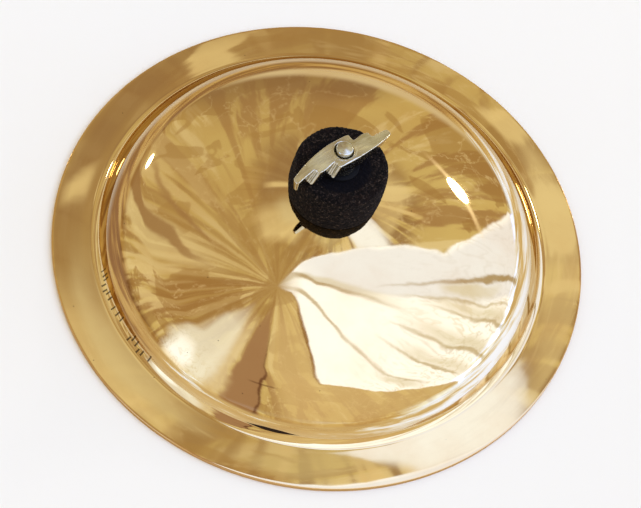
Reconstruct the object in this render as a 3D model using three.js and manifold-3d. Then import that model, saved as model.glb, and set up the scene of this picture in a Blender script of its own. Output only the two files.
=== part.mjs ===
// Bell cymbal on a short mounting post: a cast bronze dome with a narrow brim, held between two
// felts on a nylon sleeve, and clamped by a cast wing nut on a threaded rod.
// Millimetres, +Z up. The origin is the middle of the brim's underside, which rests on z = 0.

import * as THREE from 'three';
import { mergeVertices } from 'three/addons/utils/BufferGeometryUtils.js';
import Module from 'manifold-3d';

const wasm = await Module();
wasm.setup();

// Clearances
const seatGap = 0.3;            // between pieces that rest on, or turn in, each other
const cutOverrun = 5;           // how far a cutting body runs past the faces that it cuts

// Bell: crown, shoulder, wall, foot and brim, in the order of the section from the middle out
const bellDiameter = 241.3;
const bellThickness = 2.8;
const bellHoleDiameter = 12.7;
const crownRise = 43.5;         // top of the crown above the top edge of the rim
const crownRadius = 168;
const shoulderRadius = 46;
const wallSlope = 61;           // degrees down from level
const footRadius = 5.5;         // hollow curve between wall and brim
const footDiameter = 208;       // where that curve runs out into the brim
const brimInnerSlope = 1;       // degrees
const brimOuterSlope = 7;       // degrees
const rimThickness = 2.4;       // the edge, thinner than the bell because its underside is ground flat

// Mounting rod, threaded M8, drawn at its outer diameter
const rodDiameter = 8;
const rodTipDiameter = 7.2;     // plain end above the thread
const rodTipLength = 4;
const rodTipChamfer = 0.6;
const rodTipDome = 0.35;
const rodStandOut = 2.3;        // rod tip above the top of the wing nut
const rodEngagement = 12;       // length of rod inside the coupler
const rodFootChamfer = 0.9;

// Felts
const topFeltDiameter = 41;
const topFeltHeight = 17.8;     // above the top of the crown
const topFeltEdge = 1.8;
const topFeltBulge = 0.5;
const topFeltBulgeStartShare = 0.35;  // between these shares of its height the side is fullest
const topFeltBulgeEndShare = 0.6;
const bottomFeltHeight = 8;     // at its middle
const bottomFeltEdge = 1;

// Nylon sleeve between the rod and the bell
const sleeveDiameter = 10.6;
const sleeveFlangeDiameter = 16;
const sleeveFlangeThickness = 1.5;
const sleeveTopDrop = 2.2;      // sleeve end below the top of the upper felt

// Cup washer under the lower felt
const cupDiameter = 39.4;
const cupThickness = 1.2;
const cupRimHeight = 3;
const cupBend = 1.4;
const cupClearance = 1;         // between the lower felt and the rim of the cup

// Nuts below the cup washer
const hexSides = 6;
const hexAcrossFlats = 13;
const hexChamferAngle = 30;     // degrees
const lockNutHeight = 4;
const couplerHeight = 24;
const couplerMouthChamfer = 0.6;

// Washer carried under the wing nut
const nutWasherDiameter = 16;
const nutWasherThickness = 1.2;

// Wing nut: a hub and two stepped, drooping wings
const wingNutHeight = 10.1;
const wingHubDiameter = 12.4;
const wingBossDiameter = 10.6;  // flat ring round the hole on top
const wingSpan = 49.2;
const wingWidth = 12;           // across the middle
const wingEdgeRadius = 70;      // long smooth edge of each wing, seen from above
const wingArchRadius = 70;      // droop of the wings, seen from the side
const wingThickness = 7;        // at the middle
const wingThinShare = 0.24;     // part of that thickness lost at the tips
const wingEdgeRound = 0.55;
const wingStepDraft = 28;       // degrees that the end of each step leans outwards, going down
const wingBowShare = 0.02;      // how far a long stretch of the stepped edge bows out, for its length
const wingDirection = 48.5;     // degrees from +X, as the nut was left

// The stepped edge of one wing, from its tip inwards: shares of the half span and half width.
// Each row is a corner, and the last number is the share of the half width that rounds it.
const wingStepShares = [
  [1.0, -0.28, 0.2],
  [1.0, 0.25, 0.22],
  [0.667, 0.06, 0.05],
  [0.655, 0.46, 0.24],
  [0.5, 0.48, 0.2],
  [0.322, 0.36, 0.05],
  [0.318, 0.92, 0.36],
];
const wingSmoothStartShare = 0.24;  // where the smooth edge starts, on the far side of the hub
const wingSmoothEndShare = 0.965;   // and where it ends, short of the tip

// Facets
const bellFacets = 72;
const feltFacets = 36;
const turnedFacets = 24;
const crownSteps = 10;
const shoulderSteps = 7;
const footSteps = 4;
const brimSteps = 4;
const feltSteps = 3;
const wingArcSteps = 14;
const wingCornerSteps = 2;
const wingEdgeSteps = 2;
const wingFacetLength = 2.2;

// Heights of the stack, worked out from the rim upwards and from the crown downwards
const crownTop = rimThickness + crownRise;
const crownUnderside = crownTop - bellThickness;
const topFeltTop = crownTop + topFeltHeight;
const nutWasherBottom = topFeltTop + seatGap;
const wingNutBottom = nutWasherBottom + nutWasherThickness + seatGap;
const wingNutTop = wingNutBottom + wingNutHeight;
const rodTop = wingNutTop + rodStandOut;
const bottomFeltBottom = crownUnderside - seatGap - bottomFeltHeight;
const cupFloorTop = bottomFeltBottom - seatGap;
const cupBottom = cupFloorTop - cupThickness;
const lockNutBottom = cupBottom - lockNutHeight;
const couplerBottom = lockNutBottom - couplerHeight;
const rodBottom = lockNutBottom - rodEngagement;
const rodBore = rodDiameter / 2 + seatGap;
const sleeveBore = sleeveDiameter / 2 + seatGap;

const radians = THREE.MathUtils.degToRad;

// A point of a round stretch of section where it slopes down by the given angle. A positive
// radius is a crest, with its centre below, and a negative one a hollow, with its centre above.
function slopePoint(centre, radius, slope) {
  return new THREE.Vector2(centre.x + radius * Math.sin(slope), centre.y + radius * Math.cos(slope));
}

function slopeArc(centre, radius, fromSlope, toSlope, steps) {
  const points = [];
  for (let i = 0; i <= steps; i += 1) {
    points.push(slopePoint(centre, radius, THREE.MathUtils.lerp(fromSlope, toSlope, i / steps)));
  }
  return points;
}

// The centres and slopes of the bell's section. The wall is the straight line that touches both
// the shoulder and the foot, which settles the slope at which the crown meets the shoulder.
function bellSection() {
  const innerSlope = radians(brimInnerSlope);
  const outerSlope = radians(brimOuterSlope);
  const wall = radians(wallSlope);
  const footEdge = footDiameter / 2;
  const brimRadius = (bellDiameter / 2 - footEdge) / (Math.sin(outerSlope) - Math.sin(innerSlope));
  const brimCentre = new THREE.Vector2(
    footEdge - brimRadius * Math.sin(innerSlope),
    rimThickness - brimRadius * Math.cos(outerSlope),
  );
  const footTop = slopePoint(brimCentre, brimRadius, innerSlope);
  const footCentre = slopePoint(footTop, footRadius, innerSlope);
  const crownCentre = new THREE.Vector2(0, crownTop - crownRadius);
  const wallNormal = new THREE.Vector2(Math.sin(wall), Math.cos(wall));
  const reach = wallNormal.dot(footCentre) - wallNormal.dot(crownCentre) - footRadius - shoulderRadius;
  const shoulder = wall - Math.acos(reach / (crownRadius - shoulderRadius));
  const shoulderCentre = slopePoint(crownCentre, crownRadius - shoulderRadius, shoulder);
  return {
    innerSlope, outerSlope, wall, shoulder, brimRadius,
    brimCentre, footCentre, crownCentre, shoulderCentre,
  };
}

// One face of the bell's section from the hole to the rim, at a depth under the top face.
function bellFace(section, depth) {
  const { innerSlope, wall, shoulder, crownCentre, shoulderCentre, footCentre } = section;
  const crown = crownRadius - depth;
  const holeSlope = Math.asin(bellHoleDiameter / 2 / crown);
  return [
    ...slopeArc(crownCentre, crown, holeSlope, shoulder, crownSteps),
    ...slopeArc(shoulderCentre, shoulderRadius - depth, shoulder, wall, shoulderSteps).slice(1),
    ...slopeArc(footCentre, -footRadius - depth, wall, innerSlope, footSteps),
  ];
}

// The underside of the brim runs down to the flat band that the rim stands on.
function brimUnderside(section) {
  const radius = section.brimRadius - bellThickness;
  const endSlope = Math.acos(-section.brimCentre.y / radius);
  return slopeArc(section.brimCentre, radius, section.innerSlope, endSlope, brimSteps).slice(1);
}

function bellProfile() {
  const section = bellSection();
  const { innerSlope, outerSlope, brimRadius, brimCentre } = section;
  const brimTop = slopeArc(brimCentre, brimRadius, innerSlope, outerSlope, brimSteps).slice(1);
  const topFace = [...bellFace(section, 0), ...brimTop];
  const underFace = [...bellFace(section, bellThickness), ...brimUnderside(section)];
  const rimFoot = new THREE.Vector2(bellDiameter / 2, 0);
  return [...underFace, rimFoot, ...topFace.reverse()];
}

// Height of the crown's top face, or of its underside, at a distance from the axis.
function crownHeight(distance, depth) {
  const radius = crownRadius - depth;
  return crownTop - crownRadius + Math.sqrt(radius * radius - distance * distance);
}

function point(distance, height) {
  return new THREE.Vector2(distance, height);
}

// A closed section turned about the Z axis.
function turned(profile, facets) {
  const closed = [...profile, profile[0]];
  const geometry = new THREE.LatheGeometry(closed, facets);
  geometry.rotateX(Math.PI / 2);
  return welded(geometry);
}

// A section whose two ends lie on the axis, turned about it.
function turnedSolid(profile, facets) {
  const geometry = new THREE.LatheGeometry(profile, facets);
  geometry.rotateX(Math.PI / 2);
  return welded(geometry);
}

function welded(geometry) {
  const bare = geometry.clone();
  bare.deleteAttribute('normal');
  bare.deleteAttribute('uv');
  return withoutSlivers(mergeVertices(bare));
}

// Turning a point on the axis leaves triangles of no width, which are dropped.
function withoutSlivers(geometry) {
  const index = geometry.getIndex().array;
  const kept = [];
  for (let i = 0; i < index.length; i += 3) {
    const [a, b, c] = [index[i], index[i + 1], index[i + 2]];
    if (a !== b && b !== c && c !== a) {
      kept.push(a, b, c);
    }
  }
  geometry.setIndex(kept);
  return geometry;
}

function toSolid(geometry) {
  const position = geometry.getAttribute('position').array;
  const mesh = new wasm.Mesh({
    numProp: 3,
    vertProperties: Float32Array.from(position),
    triVerts: Uint32Array.from(geometry.getIndex().array),
  });
  return new wasm.Manifold(mesh);
}

function toGeometry(solid) {
  const mesh = solid.getMesh();
  const geometry = new THREE.BufferGeometry();
  geometry.setAttribute('position', new THREE.BufferAttribute(Float32Array.from(mesh.vertProperties), 3));
  geometry.setIndex(Array.from(mesh.triVerts));
  return geometry;
}

function cylinderCut(radius, bottom, top) {
  return toSolid(turnedSolid([point(0, bottom), point(radius, bottom), point(radius, top), point(0, top)],
    turnedFacets));
}

// A quarter round in a section, from one angle to another, for a felt's soft edges.
function quarter(centre, radius, startAngle, endAngle, steps) {
  const points = [];
  for (let i = 0; i <= steps; i += 1) {
    const angle = THREE.MathUtils.lerp(startAngle, endAngle, i / steps);
    points.push(point(centre.x + radius * Math.cos(angle), centre.y + radius * Math.sin(angle)));
  }
  return points;
}

function bellCymbal() {
  return turned(bellProfile(), bellFacets);
}

// The upper felt stands on the crown, with a hollow underside that follows it.
function topFelt() {
  const radius = topFeltDiameter / 2;
  const side = radius - topFeltBulge;
  const underside = [];
  for (let i = 0; i <= feltSteps; i += 1) {
    const distance = THREE.MathUtils.lerp(sleeveBore, side, i / feltSteps);
    underside.push(point(distance, crownHeight(distance, 0) + seatGap));
  }
  const sideFoot = underside[feltSteps].y;
  const edgeCentre = point(side - topFeltEdge, topFeltTop - topFeltEdge);
  return turned([
    ...underside,
    point(radius, THREE.MathUtils.lerp(sideFoot, topFeltTop, topFeltBulgeStartShare)),
    point(radius, THREE.MathUtils.lerp(sideFoot, topFeltTop, topFeltBulgeEndShare)),
    ...quarter(edgeCentre, topFeltEdge, 0, Math.PI / 2, feltSteps),
    point(sleeveBore, topFeltTop),
  ], feltFacets);
}

// The lower felt lies in the cup washer, over the sleeve's flange, and follows the crown's underside.
function bottomFelt() {
  const radius = cupDiameter / 2 - cupThickness - cupClearance;
  const flange = sleeveFlangeDiameter / 2 + seatGap;
  const flangeTop = bottomFeltBottom + sleeveFlangeThickness + seatGap;
  const topFace = [];
  for (let i = 0; i <= feltSteps; i += 1) {
    const distance = THREE.MathUtils.lerp(radius - bottomFeltEdge, sleeveBore, i / feltSteps);
    topFace.push(point(distance, crownHeight(distance, bellThickness) - seatGap));
  }
  return turned([
    point(sleeveBore, flangeTop),
    point(flange, flangeTop),
    point(flange, bottomFeltBottom),
    point(radius - bottomFeltEdge, bottomFeltBottom),
    point(radius, bottomFeltBottom + bottomFeltEdge),
    point(radius, topFace[0].y - bottomFeltEdge),
    ...topFace,
  ], feltFacets);
}

function rodSleeve() {
  const flange = sleeveFlangeDiameter / 2;
  const flangeTop = bottomFeltBottom + sleeveFlangeThickness;
  return turned([
    point(rodBore, bottomFeltBottom),
    point(flange, bottomFeltBottom),
    point(flange, flangeTop),
    point(sleeveDiameter / 2, flangeTop),
    point(sleeveDiameter / 2, topFeltTop - sleeveTopDrop),
    point(rodBore, topFeltTop - sleeveTopDrop),
  ], turnedFacets);
}

// A pressed cup: a flat floor with its rim bent up round the felt.
function cupWasher() {
  const outside = cupDiameter / 2;
  const inside = outside - cupThickness;
  const bend = cupBend - cupThickness / 2;
  const rimTop = cupBottom + cupRimHeight;
  return turned([
    point(rodBore, cupBottom),
    point(outside - cupBend, cupBottom),
    point(outside - bend / 2, cupBottom + bend / 2),
    point(outside, cupBottom + cupBend),
    point(outside, rimTop),
    point(inside, rimTop),
    point(inside, cupFloorTop + bend),
    point(inside - bend, cupFloorTop),
    point(rodBore, cupFloorTop),
  ], feltFacets);
}

// A hexagon bar with a bore, its corners turned down to a cone at both ends.
function hexNut(bottom, height, mouthChamfer) {
  const corner = hexAcrossFlats / 2 / Math.cos(Math.PI / hexSides);
  const corners = Array.from({ length: hexSides }, (_, i) => {
    const angle = 2 * Math.PI * i / hexSides;
    return new THREE.Vector2(corner * Math.cos(angle), corner * Math.sin(angle));
  });
  const bar = new THREE.ExtrudeGeometry(new THREE.Shape(corners), { depth: height, bevelEnabled: false });
  bar.translate(0, 0, bottom);
  const top = bottom + height;
  const flat = hexAcrossFlats / 2;
  const reach = corner - flat + cutOverrun;
  const fall = reach * Math.tan(radians(hexChamferAngle));
  const cone = turnedSolid([
    point(0, bottom),
    point(flat, bottom),
    point(flat + reach, bottom + fall),
    point(flat + reach, top - fall),
    point(flat, top),
    point(0, top),
  ], turnedFacets);
  const mouth = turnedSolid([
    point(0, bottom - cutOverrun),
    point(rodBore + mouthChamfer + cutOverrun, bottom - cutOverrun),
    point(rodBore, bottom + mouthChamfer),
    point(0, bottom + mouthChamfer),
  ], turnedFacets);
  let body = toSolid(welded(bar)).intersect(toSolid(cone));
  body = body.subtract(cylinderCut(rodBore, bottom - cutOverrun, top + cutOverrun));
  if (mouthChamfer > 0) {
    body = body.subtract(toSolid(mouth));
  }
  return toGeometry(body);
}

// The rod is chamfered at the bottom and has a plain, thinner tip with a chamfered, domed end.
function threadedRod() {
  const radius = rodDiameter / 2;
  const tip = rodTipDiameter / 2;
  const tipBottom = rodTop - rodTipLength;
  return turnedSolid([
    point(0, rodBottom),
    point(radius - rodFootChamfer, rodBottom),
    point(radius, rodBottom + rodFootChamfer),
    point(radius, tipBottom - (radius - tip)),
    point(tip, tipBottom),
    point(tip, rodTop - rodTipDome - rodTipChamfer),
    point(tip - rodTipChamfer, rodTop - rodTipDome),
    point(0, rodTop),
  ], turnedFacets);
}

function nutWasher() {
  const outside = nutWasherDiameter / 2;
  const top = nutWasherBottom + nutWasherThickness;
  return turned([
    point(rodBore, nutWasherBottom),
    point(outside, nutWasherBottom),
    point(outside, top),
    point(rodBore, top),
  ], turnedFacets);
}

// The outline of both wings from above: a long smooth arc down one side of each wing, and its
// stepped edge on the other. The second wing is the first one turned by half a turn.
function wingOutline() {
  const wing = [...wingSmoothEdge(), ...wingSteps()];
  const otherWing = wing.map((at) => at.clone().negate());
  return divided([...wing, ...otherWing]);
}

// A point of the smooth edge, at a distance along the wing.
function wingEdgePoint(along) {
  const dip = wingEdgeRadius - Math.sqrt(wingEdgeRadius ** 2 - along ** 2);
  return new THREE.Vector2(along, dip - wingWidth / 2);
}

function wingSmoothEdge() {
  const start = -wingSmoothStartShare * wingSpan / 2;
  const end = wingSmoothEndShare * wingSpan / 2;
  const points = [];
  for (let i = 0; i <= wingArcSteps; i += 1) {
    points.push(wingEdgePoint(THREE.MathUtils.lerp(start, end, i / wingArcSteps)));
  }
  return points;
}

function wingSteps() {
  const corners = wingStepShares.map(([along, across, round]) => ({
    at: new THREE.Vector2(along * wingSpan / 2, across * wingWidth / 2),
    round: round * wingWidth / 2,
  }));
  const before = wingEdgePoint(wingSmoothEndShare * wingSpan / 2);
  const after = wingEdgePoint(-wingSmoothStartShare * wingSpan / 2).negate();
  return corners.flatMap(({ at, round }, i) => {
    const entry = toward(at, i > 0 ? corners[i - 1].at : before, round);
    const exit = toward(at, i < corners.length - 1 ? corners[i + 1].at : after, round);
    return new THREE.QuadraticBezierCurve(entry, at, exit).getPoints(wingCornerSteps);
  });
}

// The point at a distance from one point on the way to another, and never past its middle.
function toward(from, to, distance) {
  const way = to.clone().sub(from);
  const reach = Math.min(distance, way.length() / 2);
  return from.clone().add(way.setLength(reach));
}

// Splits the long stretches of an outline, so that it can be bent, and bows each out a little,
// as the edges of the casting are.
function divided(points) {
  return points.flatMap((start, i) => {
    const end = points[(i + 1) % points.length];
    const way = end.clone().sub(start);
    const outwards = new THREE.Vector2(way.y, -way.x).multiplyScalar(wingBowShare);
    const parts = Math.ceil(way.length() / wingFacetLength);
    return Array.from({ length: parts }, (_, k) => {
      const share = k / parts;
      return start.clone().addScaledVector(way, share).addScaledVector(outwards, 4 * share * (1 - share));
    });
  });
}

// The wings: the outline extruded with round edges, then its steps leaned outwards, its tips
// thinned and the whole bent down in an arch.
function wingBar() {
  const shape = new THREE.Shape(wingOutline());
  const bar = welded(new THREE.ExtrudeGeometry(shape, {
    depth: wingThickness - 2 * wingEdgeRound,
    steps: 1,
    bevelEnabled: true,
    bevelThickness: wingEdgeRound,
    bevelSize: wingEdgeRound,
    bevelOffset: -wingEdgeRound,
    bevelSegments: wingEdgeSteps,
  }));
  const halfSpan = wingSpan / 2;
  const position = bar.getAttribute('position');
  for (let i = 0; i < position.count; i += 1) {
    const along = position.getX(i);
    const out = Math.min(Math.abs(along) / halfSpan, 1);
    const depth = wingThickness - wingEdgeRound - position.getZ(i);
    const lean = Math.tan(radians(wingStepDraft)) * depth * Math.sin(Math.PI * out);
    const droop = wingArchRadius - Math.sqrt(wingArchRadius ** 2 - along ** 2);
    const thinned = depth * (1 - wingThinShare * out ** 2);
    position.setX(i, along + Math.sign(along) * lean);
    position.setZ(i, wingNutTop - droop - thinned);
  }
  return toSolid(bar);
}

function wingNut() {
  const hub = wingHubDiameter / 2;
  const boss = wingBossDiameter / 2;
  const hubBody = turnedSolid([
    point(0, wingNutBottom),
    point(hub, wingNutBottom),
    point(hub, wingNutBottom + wingEdgeRound),
    point(hub - wingEdgeRound, wingNutTop - wingThickness / 2),
    point(boss, wingNutTop - wingEdgeRound),
    point(boss, wingNutTop),
    point(0, wingNutTop),
  ], turnedFacets);
  const bore = cylinderCut(rodBore, wingNutBottom - cutOverrun, wingNutTop + cutOverrun);
  return toGeometry(wingBar().add(toSolid(hubBody)).subtract(bore));
}

const bronze = new THREE.MeshStandardMaterial({ color: '#c9a25b', metalness: 1, roughness: 0.12 });
const felt = new THREE.MeshStandardMaterial({ color: '#1d1714', metalness: 0, roughness: 1 });
const nylon = new THREE.MeshStandardMaterial({ color: '#e4e2da', metalness: 0, roughness: 0.45 });
const zincPlate = new THREE.MeshStandardMaterial({ color: '#a9a9a6', metalness: 1, roughness: 0.32 });
const blackNylon = new THREE.MeshStandardMaterial({ color: '#121213', metalness: 0, roughness: 0.5 });
const nickelCasting = new THREE.MeshStandardMaterial({ color: '#c9c1ad', metalness: 1, roughness: 0.28 });

function named(name, geometry, material) {
  const mesh = new THREE.Mesh(geometry, material.clone());
  mesh.name = name;
  return mesh;
}

const post = new THREE.Group();
post.add(named('threaded_rod', threadedRod(), zincPlate));
post.add(named('cup_washer', cupWasher(), zincPlate));
post.add(named('lock_nut', hexNut(lockNutBottom, lockNutHeight, 0), zincPlate));
post.add(named('hex_coupler', hexNut(couplerBottom, couplerHeight, couplerMouthChamfer), zincPlate));

const cushions = new THREE.Group();
cushions.add(named('rod_sleeve', rodSleeve(), nylon));
cushions.add(named('bottom_felt', bottomFelt(), felt));
cushions.add(named('top_felt', topFelt(), felt));

const clamp = new THREE.Group();
const wings = named('wing_nut', wingNut(), nickelCasting);
wings.rotation.z = radians(wingDirection);
clamp.add(named('nut_washer', nutWasher(), blackNylon));
clamp.add(wings);

const cymbal = new THREE.Group();
cymbal.add(named('bell_cymbal', bellCymbal(), bronze));
cymbal.add(post);
cymbal.add(cushions);
cymbal.add(clamp);

export default cymbal;
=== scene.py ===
"""A polished bronze bell cymbal, clamped between felts on a short mounting post.

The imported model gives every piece's place and size. This file models the pieces finely, gives each
its finish, and sets up the studio: camera, floor, a soft light tent and two lamps.
"""

import math
import random

import bmesh
import bpy
from mathutils import Matrix, Vector, noise


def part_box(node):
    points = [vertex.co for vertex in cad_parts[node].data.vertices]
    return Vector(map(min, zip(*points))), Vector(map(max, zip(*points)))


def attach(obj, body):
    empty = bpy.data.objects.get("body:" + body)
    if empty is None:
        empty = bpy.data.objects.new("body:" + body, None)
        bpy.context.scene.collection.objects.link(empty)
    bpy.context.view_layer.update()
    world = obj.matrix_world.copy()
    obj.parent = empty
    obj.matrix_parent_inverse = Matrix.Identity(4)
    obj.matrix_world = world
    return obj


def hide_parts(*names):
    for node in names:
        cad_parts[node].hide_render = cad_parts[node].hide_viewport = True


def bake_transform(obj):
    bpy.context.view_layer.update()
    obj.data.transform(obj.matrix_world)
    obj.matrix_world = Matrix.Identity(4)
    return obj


bl_info = {
    "name": "Bell Cymbal",
    "version": (1, 0, 0),
    "blender": (4, 5, 0),
    "location": "3D View > Sidebar > Bell Cymbal",
    "description": "Models and finishes a bronze bell cymbal with its felts and its wing nut clamp",
    "category": "Add Mesh",
}

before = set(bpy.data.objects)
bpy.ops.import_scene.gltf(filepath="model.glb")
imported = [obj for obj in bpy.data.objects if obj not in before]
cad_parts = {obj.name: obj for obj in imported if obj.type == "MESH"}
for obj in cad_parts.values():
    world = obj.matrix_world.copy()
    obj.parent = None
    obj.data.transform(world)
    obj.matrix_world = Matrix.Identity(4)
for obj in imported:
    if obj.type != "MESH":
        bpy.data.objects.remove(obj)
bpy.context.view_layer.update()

MM = 0.001
FULL_TURN = 2 * math.pi
# Room between a bore and what goes through it, and the tube that the felts sit round
SEAT_GAP = 0.3 * MM
SLEEVE_RADIUS = 5.3 * MM

# The photograph's frame, in pixels, and where the middle of the rim lies in it
IMAGE_WIDTH = 641
IMAGE_HEIGHT = 508
RIM_MIDDLE_PX = (321.2, 239.7)
FOCAL_LENGTH_PX = 1656

# The camera's sensor, in millimetres, and how many metres off the lamps stand
SENSOR_WIDTH_MM = 36
LAMP_DISTANCE = 1.4


def from_hex(code):
    """An sRGB hex colour as linear red, green, blue and alpha."""
    channels = []
    for start in (1, 3, 5):
        value = int(code[start:start + 2], 16) / 255
        channels.append(value / 12.92 if value <= 0.04045 else ((value + 0.055) / 1.055) ** 2.4)
    return (*channels, 1.0)


class BellProperties(bpy.types.PropertyGroup):
    """Sizes and colours of the bronze bell."""

    crown_rise: bpy.props.FloatProperty(
        name="Crown rise", description="Top of the crown above the top edge of the rim",
        default=43.5 * MM, unit="LENGTH")
    crown_radius: bpy.props.FloatProperty(
        name="Crown radius", description="Radius of the crown's section", default=168 * MM, unit="LENGTH")
    shoulder_radius: bpy.props.FloatProperty(
        name="Shoulder radius", description="Radius where the crown turns down into the wall",
        default=46 * MM, unit="LENGTH")
    wall_slope: bpy.props.FloatProperty(
        name="Wall slope", description="Steepest slope of the bell",
        default=math.radians(61), unit="ROTATION")
    foot_radius: bpy.props.FloatProperty(
        name="Foot radius", description="Radius of the hollow between wall and brim",
        default=5.5 * MM, unit="LENGTH")
    foot_diameter: bpy.props.FloatProperty(
        name="Foot diameter", description="Where that hollow runs out into the brim",
        default=208 * MM, unit="LENGTH")
    brim_inner_slope: bpy.props.FloatProperty(
        name="Inner brim slope", description="Slope of the brim at the foot",
        default=math.radians(1), unit="ROTATION")
    brim_outer_slope: bpy.props.FloatProperty(
        name="Outer brim slope", description="Slope of the brim at the rim",
        default=math.radians(7), unit="ROTATION")
    thickness: bpy.props.FloatProperty(
        name="Thickness", description="Thickness of the casting", default=2.8 * MM, unit="LENGTH")
    rim_thickness: bpy.props.FloatProperty(
        name="Rim thickness", description="Height of the ground edge", default=2.4 * MM, unit="LENGTH")
    hole_diameter: bpy.props.FloatProperty(
        name="Hole diameter", description="Mounting hole in the crown", default=12.7 * MM, unit="LENGTH")
    edge_break: bpy.props.FloatProperty(
        name="Edge break", description="Rounding of the rim and of the hole",
        default=0.35 * MM, unit="LENGTH")
    bronze: bpy.props.FloatVectorProperty(
        name="Bronze", description="Colour of the polished bronze", size=4, subtype="COLOR",
        default=from_hex("#ddc08a"))
    bronze_shade: bpy.props.FloatVectorProperty(
        name="Bronze shade", description="Colour of the bronze where it is a little tarnished", size=4,
        subtype="COLOR", default=from_hex("#c48a4a"))


class FeltProperties(bpy.types.PropertyGroup):
    """Sizes and colours of the two felts."""

    edge_round: bpy.props.FloatProperty(
        name="Edge", description="Rounding of the upper felt's top edge", default=1.8 * MM, unit="LENGTH")
    lower_edge_round: bpy.props.FloatProperty(
        name="Lower felt edge", description="Rounding of the lower felt's edges",
        default=1 * MM, unit="LENGTH")
    bulge: bpy.props.FloatProperty(
        name="Bulge", description="How far the clamped side stands out", default=0.5 * MM, unit="LENGTH")
    tuft_height: bpy.props.FloatProperty(
        name="Tuft height", description="Height of the tufts of the pressed wool",
        default=0.34 * MM, unit="LENGTH")
    fibre_length: bpy.props.FloatProperty(
        name="Fibre length", description="Length of the loose wool fibres", default=1.7 * MM, unit="LENGTH")
    fibre_count: bpy.props.IntProperty(
        name="Fibres", description="Loose fibres on the upper felt", default=900, min=0)
    wool: bpy.props.FloatVectorProperty(
        name="Wool", description="Colour of most of the wool", size=4, subtype="COLOR",
        default=from_hex("#100b08"))
    pale_wool: bpy.props.FloatVectorProperty(
        name="Pale wool", description="Colour of the paler fibres pressed in with it", size=4,
        subtype="COLOR", default=from_hex("#5c4d3f"))


class ClampProperties(bpy.types.PropertyGroup):
    """Sizes and colours of the rod, the nuts, the washers and the sleeve."""

    rod_diameter: bpy.props.FloatProperty(
        name="Rod", description="Outer diameter of the thread", default=8 * MM, unit="LENGTH")
    thread_pitch: bpy.props.FloatProperty(
        name="Pitch", description="Rise of the thread in a turn", default=1.25 * MM, unit="LENGTH")
    tip_diameter: bpy.props.FloatProperty(
        name="Rod tip", description="Diameter of the plain end above the thread",
        default=7.2 * MM, unit="LENGTH")
    tip_length: bpy.props.FloatProperty(
        name="Tip length", description="Length of that plain end", default=4 * MM, unit="LENGTH")
    hex_size: bpy.props.FloatProperty(
        name="Across flats", description="Size of the lock nut and the coupler",
        default=13 * MM, unit="LENGTH")
    span: bpy.props.FloatProperty(
        name="Span", description="Length across both wings", default=49.2 * MM, unit="LENGTH")
    width: bpy.props.FloatProperty(
        name="Width", description="Width of the wings in the middle", default=12 * MM, unit="LENGTH")
    wing_thickness: bpy.props.FloatProperty(
        name="Wing thickness", description="Thickness of the wings in the middle",
        default=7 * MM, unit="LENGTH")
    wing_radius: bpy.props.FloatProperty(
        name="Wing radius", description="Radius of the droop and of the long edge",
        default=70 * MM, unit="LENGTH")
    direction: bpy.props.FloatProperty(
        name="Direction", description="How far the nut is turned from +X",
        default=math.radians(48.5), unit="ROTATION")
    nickel: bpy.props.FloatVectorProperty(
        name="Nickel", description="Colour of the satin nickel plate", size=4, subtype="COLOR",
        default=from_hex("#c1bbaa"))
    zinc: bpy.props.FloatVectorProperty(
        name="Zinc", description="Colour of the bright zinc plate", size=4, subtype="COLOR",
        default=from_hex("#c6bfa8"))
    nylon: bpy.props.FloatVectorProperty(
        name="Nylon", description="Colour of the nylon sleeve", size=4, subtype="COLOR",
        default=from_hex("#e4e2da"))
    # Near black as painted shade: the washer stands in for the wing nut's shadow on the felt
    black_nylon: bpy.props.FloatVectorProperty(
        name="Black nylon", description="Colour of the flat washer under the nut", size=4,
        subtype="COLOR", default=from_hex("#08080a"))


class StudioProperties(bpy.types.PropertyGroup):
    """Camera, floor and light tent."""

    distance: bpy.props.FloatProperty(
        name="Distance", description="Camera to the middle of the rim", default=750 * MM, unit="LENGTH")
    elevation: bpy.props.FloatProperty(
        name="Elevation", description="Camera above the rim's plane",
        default=math.radians(58.5), unit="ROTATION")
    roll: bpy.props.FloatProperty(
        name="Roll", description="Turn of the camera about its view",
        default=math.radians(14.6), unit="ROTATION")
    floor_size: bpy.props.FloatProperty(
        name="Floor", description="Half the width of the floor", default=15.0, unit="LENGTH")
    floor: bpy.props.FloatVectorProperty(
        name="Floor colour", description="Colour of the paper on the floor", size=4, subtype="COLOR",
        default=from_hex("#fdf7e3"))
    cloth: bpy.props.FloatVectorProperty(
        name="Tent cloth", description="Light that comes through the tent's cloth", size=4,
        subtype="COLOR", default=from_hex("#e3dbad"))
    fold: bpy.props.FloatVectorProperty(
        name="Tent folds", description="Light from the shaded folds of the cloth", size=4,
        subtype="COLOR", default=from_hex("#b89f7e"))


def add_node(tree, kind, settings=None, links=None):
    """Add one node with its settings and its links, and return it.

    A setting is a property, the stops of a colour ramp, or the value of an input. A link comes from
    a socket, or from the first socket in use of another node.
    """
    node = tree.nodes.new(kind)
    for name, value in (settings or {}).items():
        if name == "stops":
            stops = node.color_ramp.elements
            while len(stops) < len(value):
                stops.new(1.0)
            for stop, (position, colour) in zip(stops, value):
                stop.position = position
                stop.color = colour
        elif isinstance(name, str) and name in node.bl_rna.properties:
            setattr(node, name, value)
        else:
            node.inputs[name].default_value = value
    for name, source in (links or {}).items():
        if isinstance(source, bpy.types.Node):
            source = next(socket for socket in source.outputs if socket.enabled)
        tree.links.new(source, node.inputs[name])
    return node


def lit(code, strength):
    """An sRGB hex colour as light of a strength."""
    return (*(channel * strength for channel in from_hex(code)[:3]), 1.0)


def new_material(name):
    """A new material with nothing in it but the object's own coordinates."""
    material = bpy.data.materials.new(name)
    material.use_nodes = True
    tree = material.node_tree
    tree.nodes.clear()
    return material, tree, add_node(tree, "ShaderNodeTexCoord").outputs["Object"]


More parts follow.
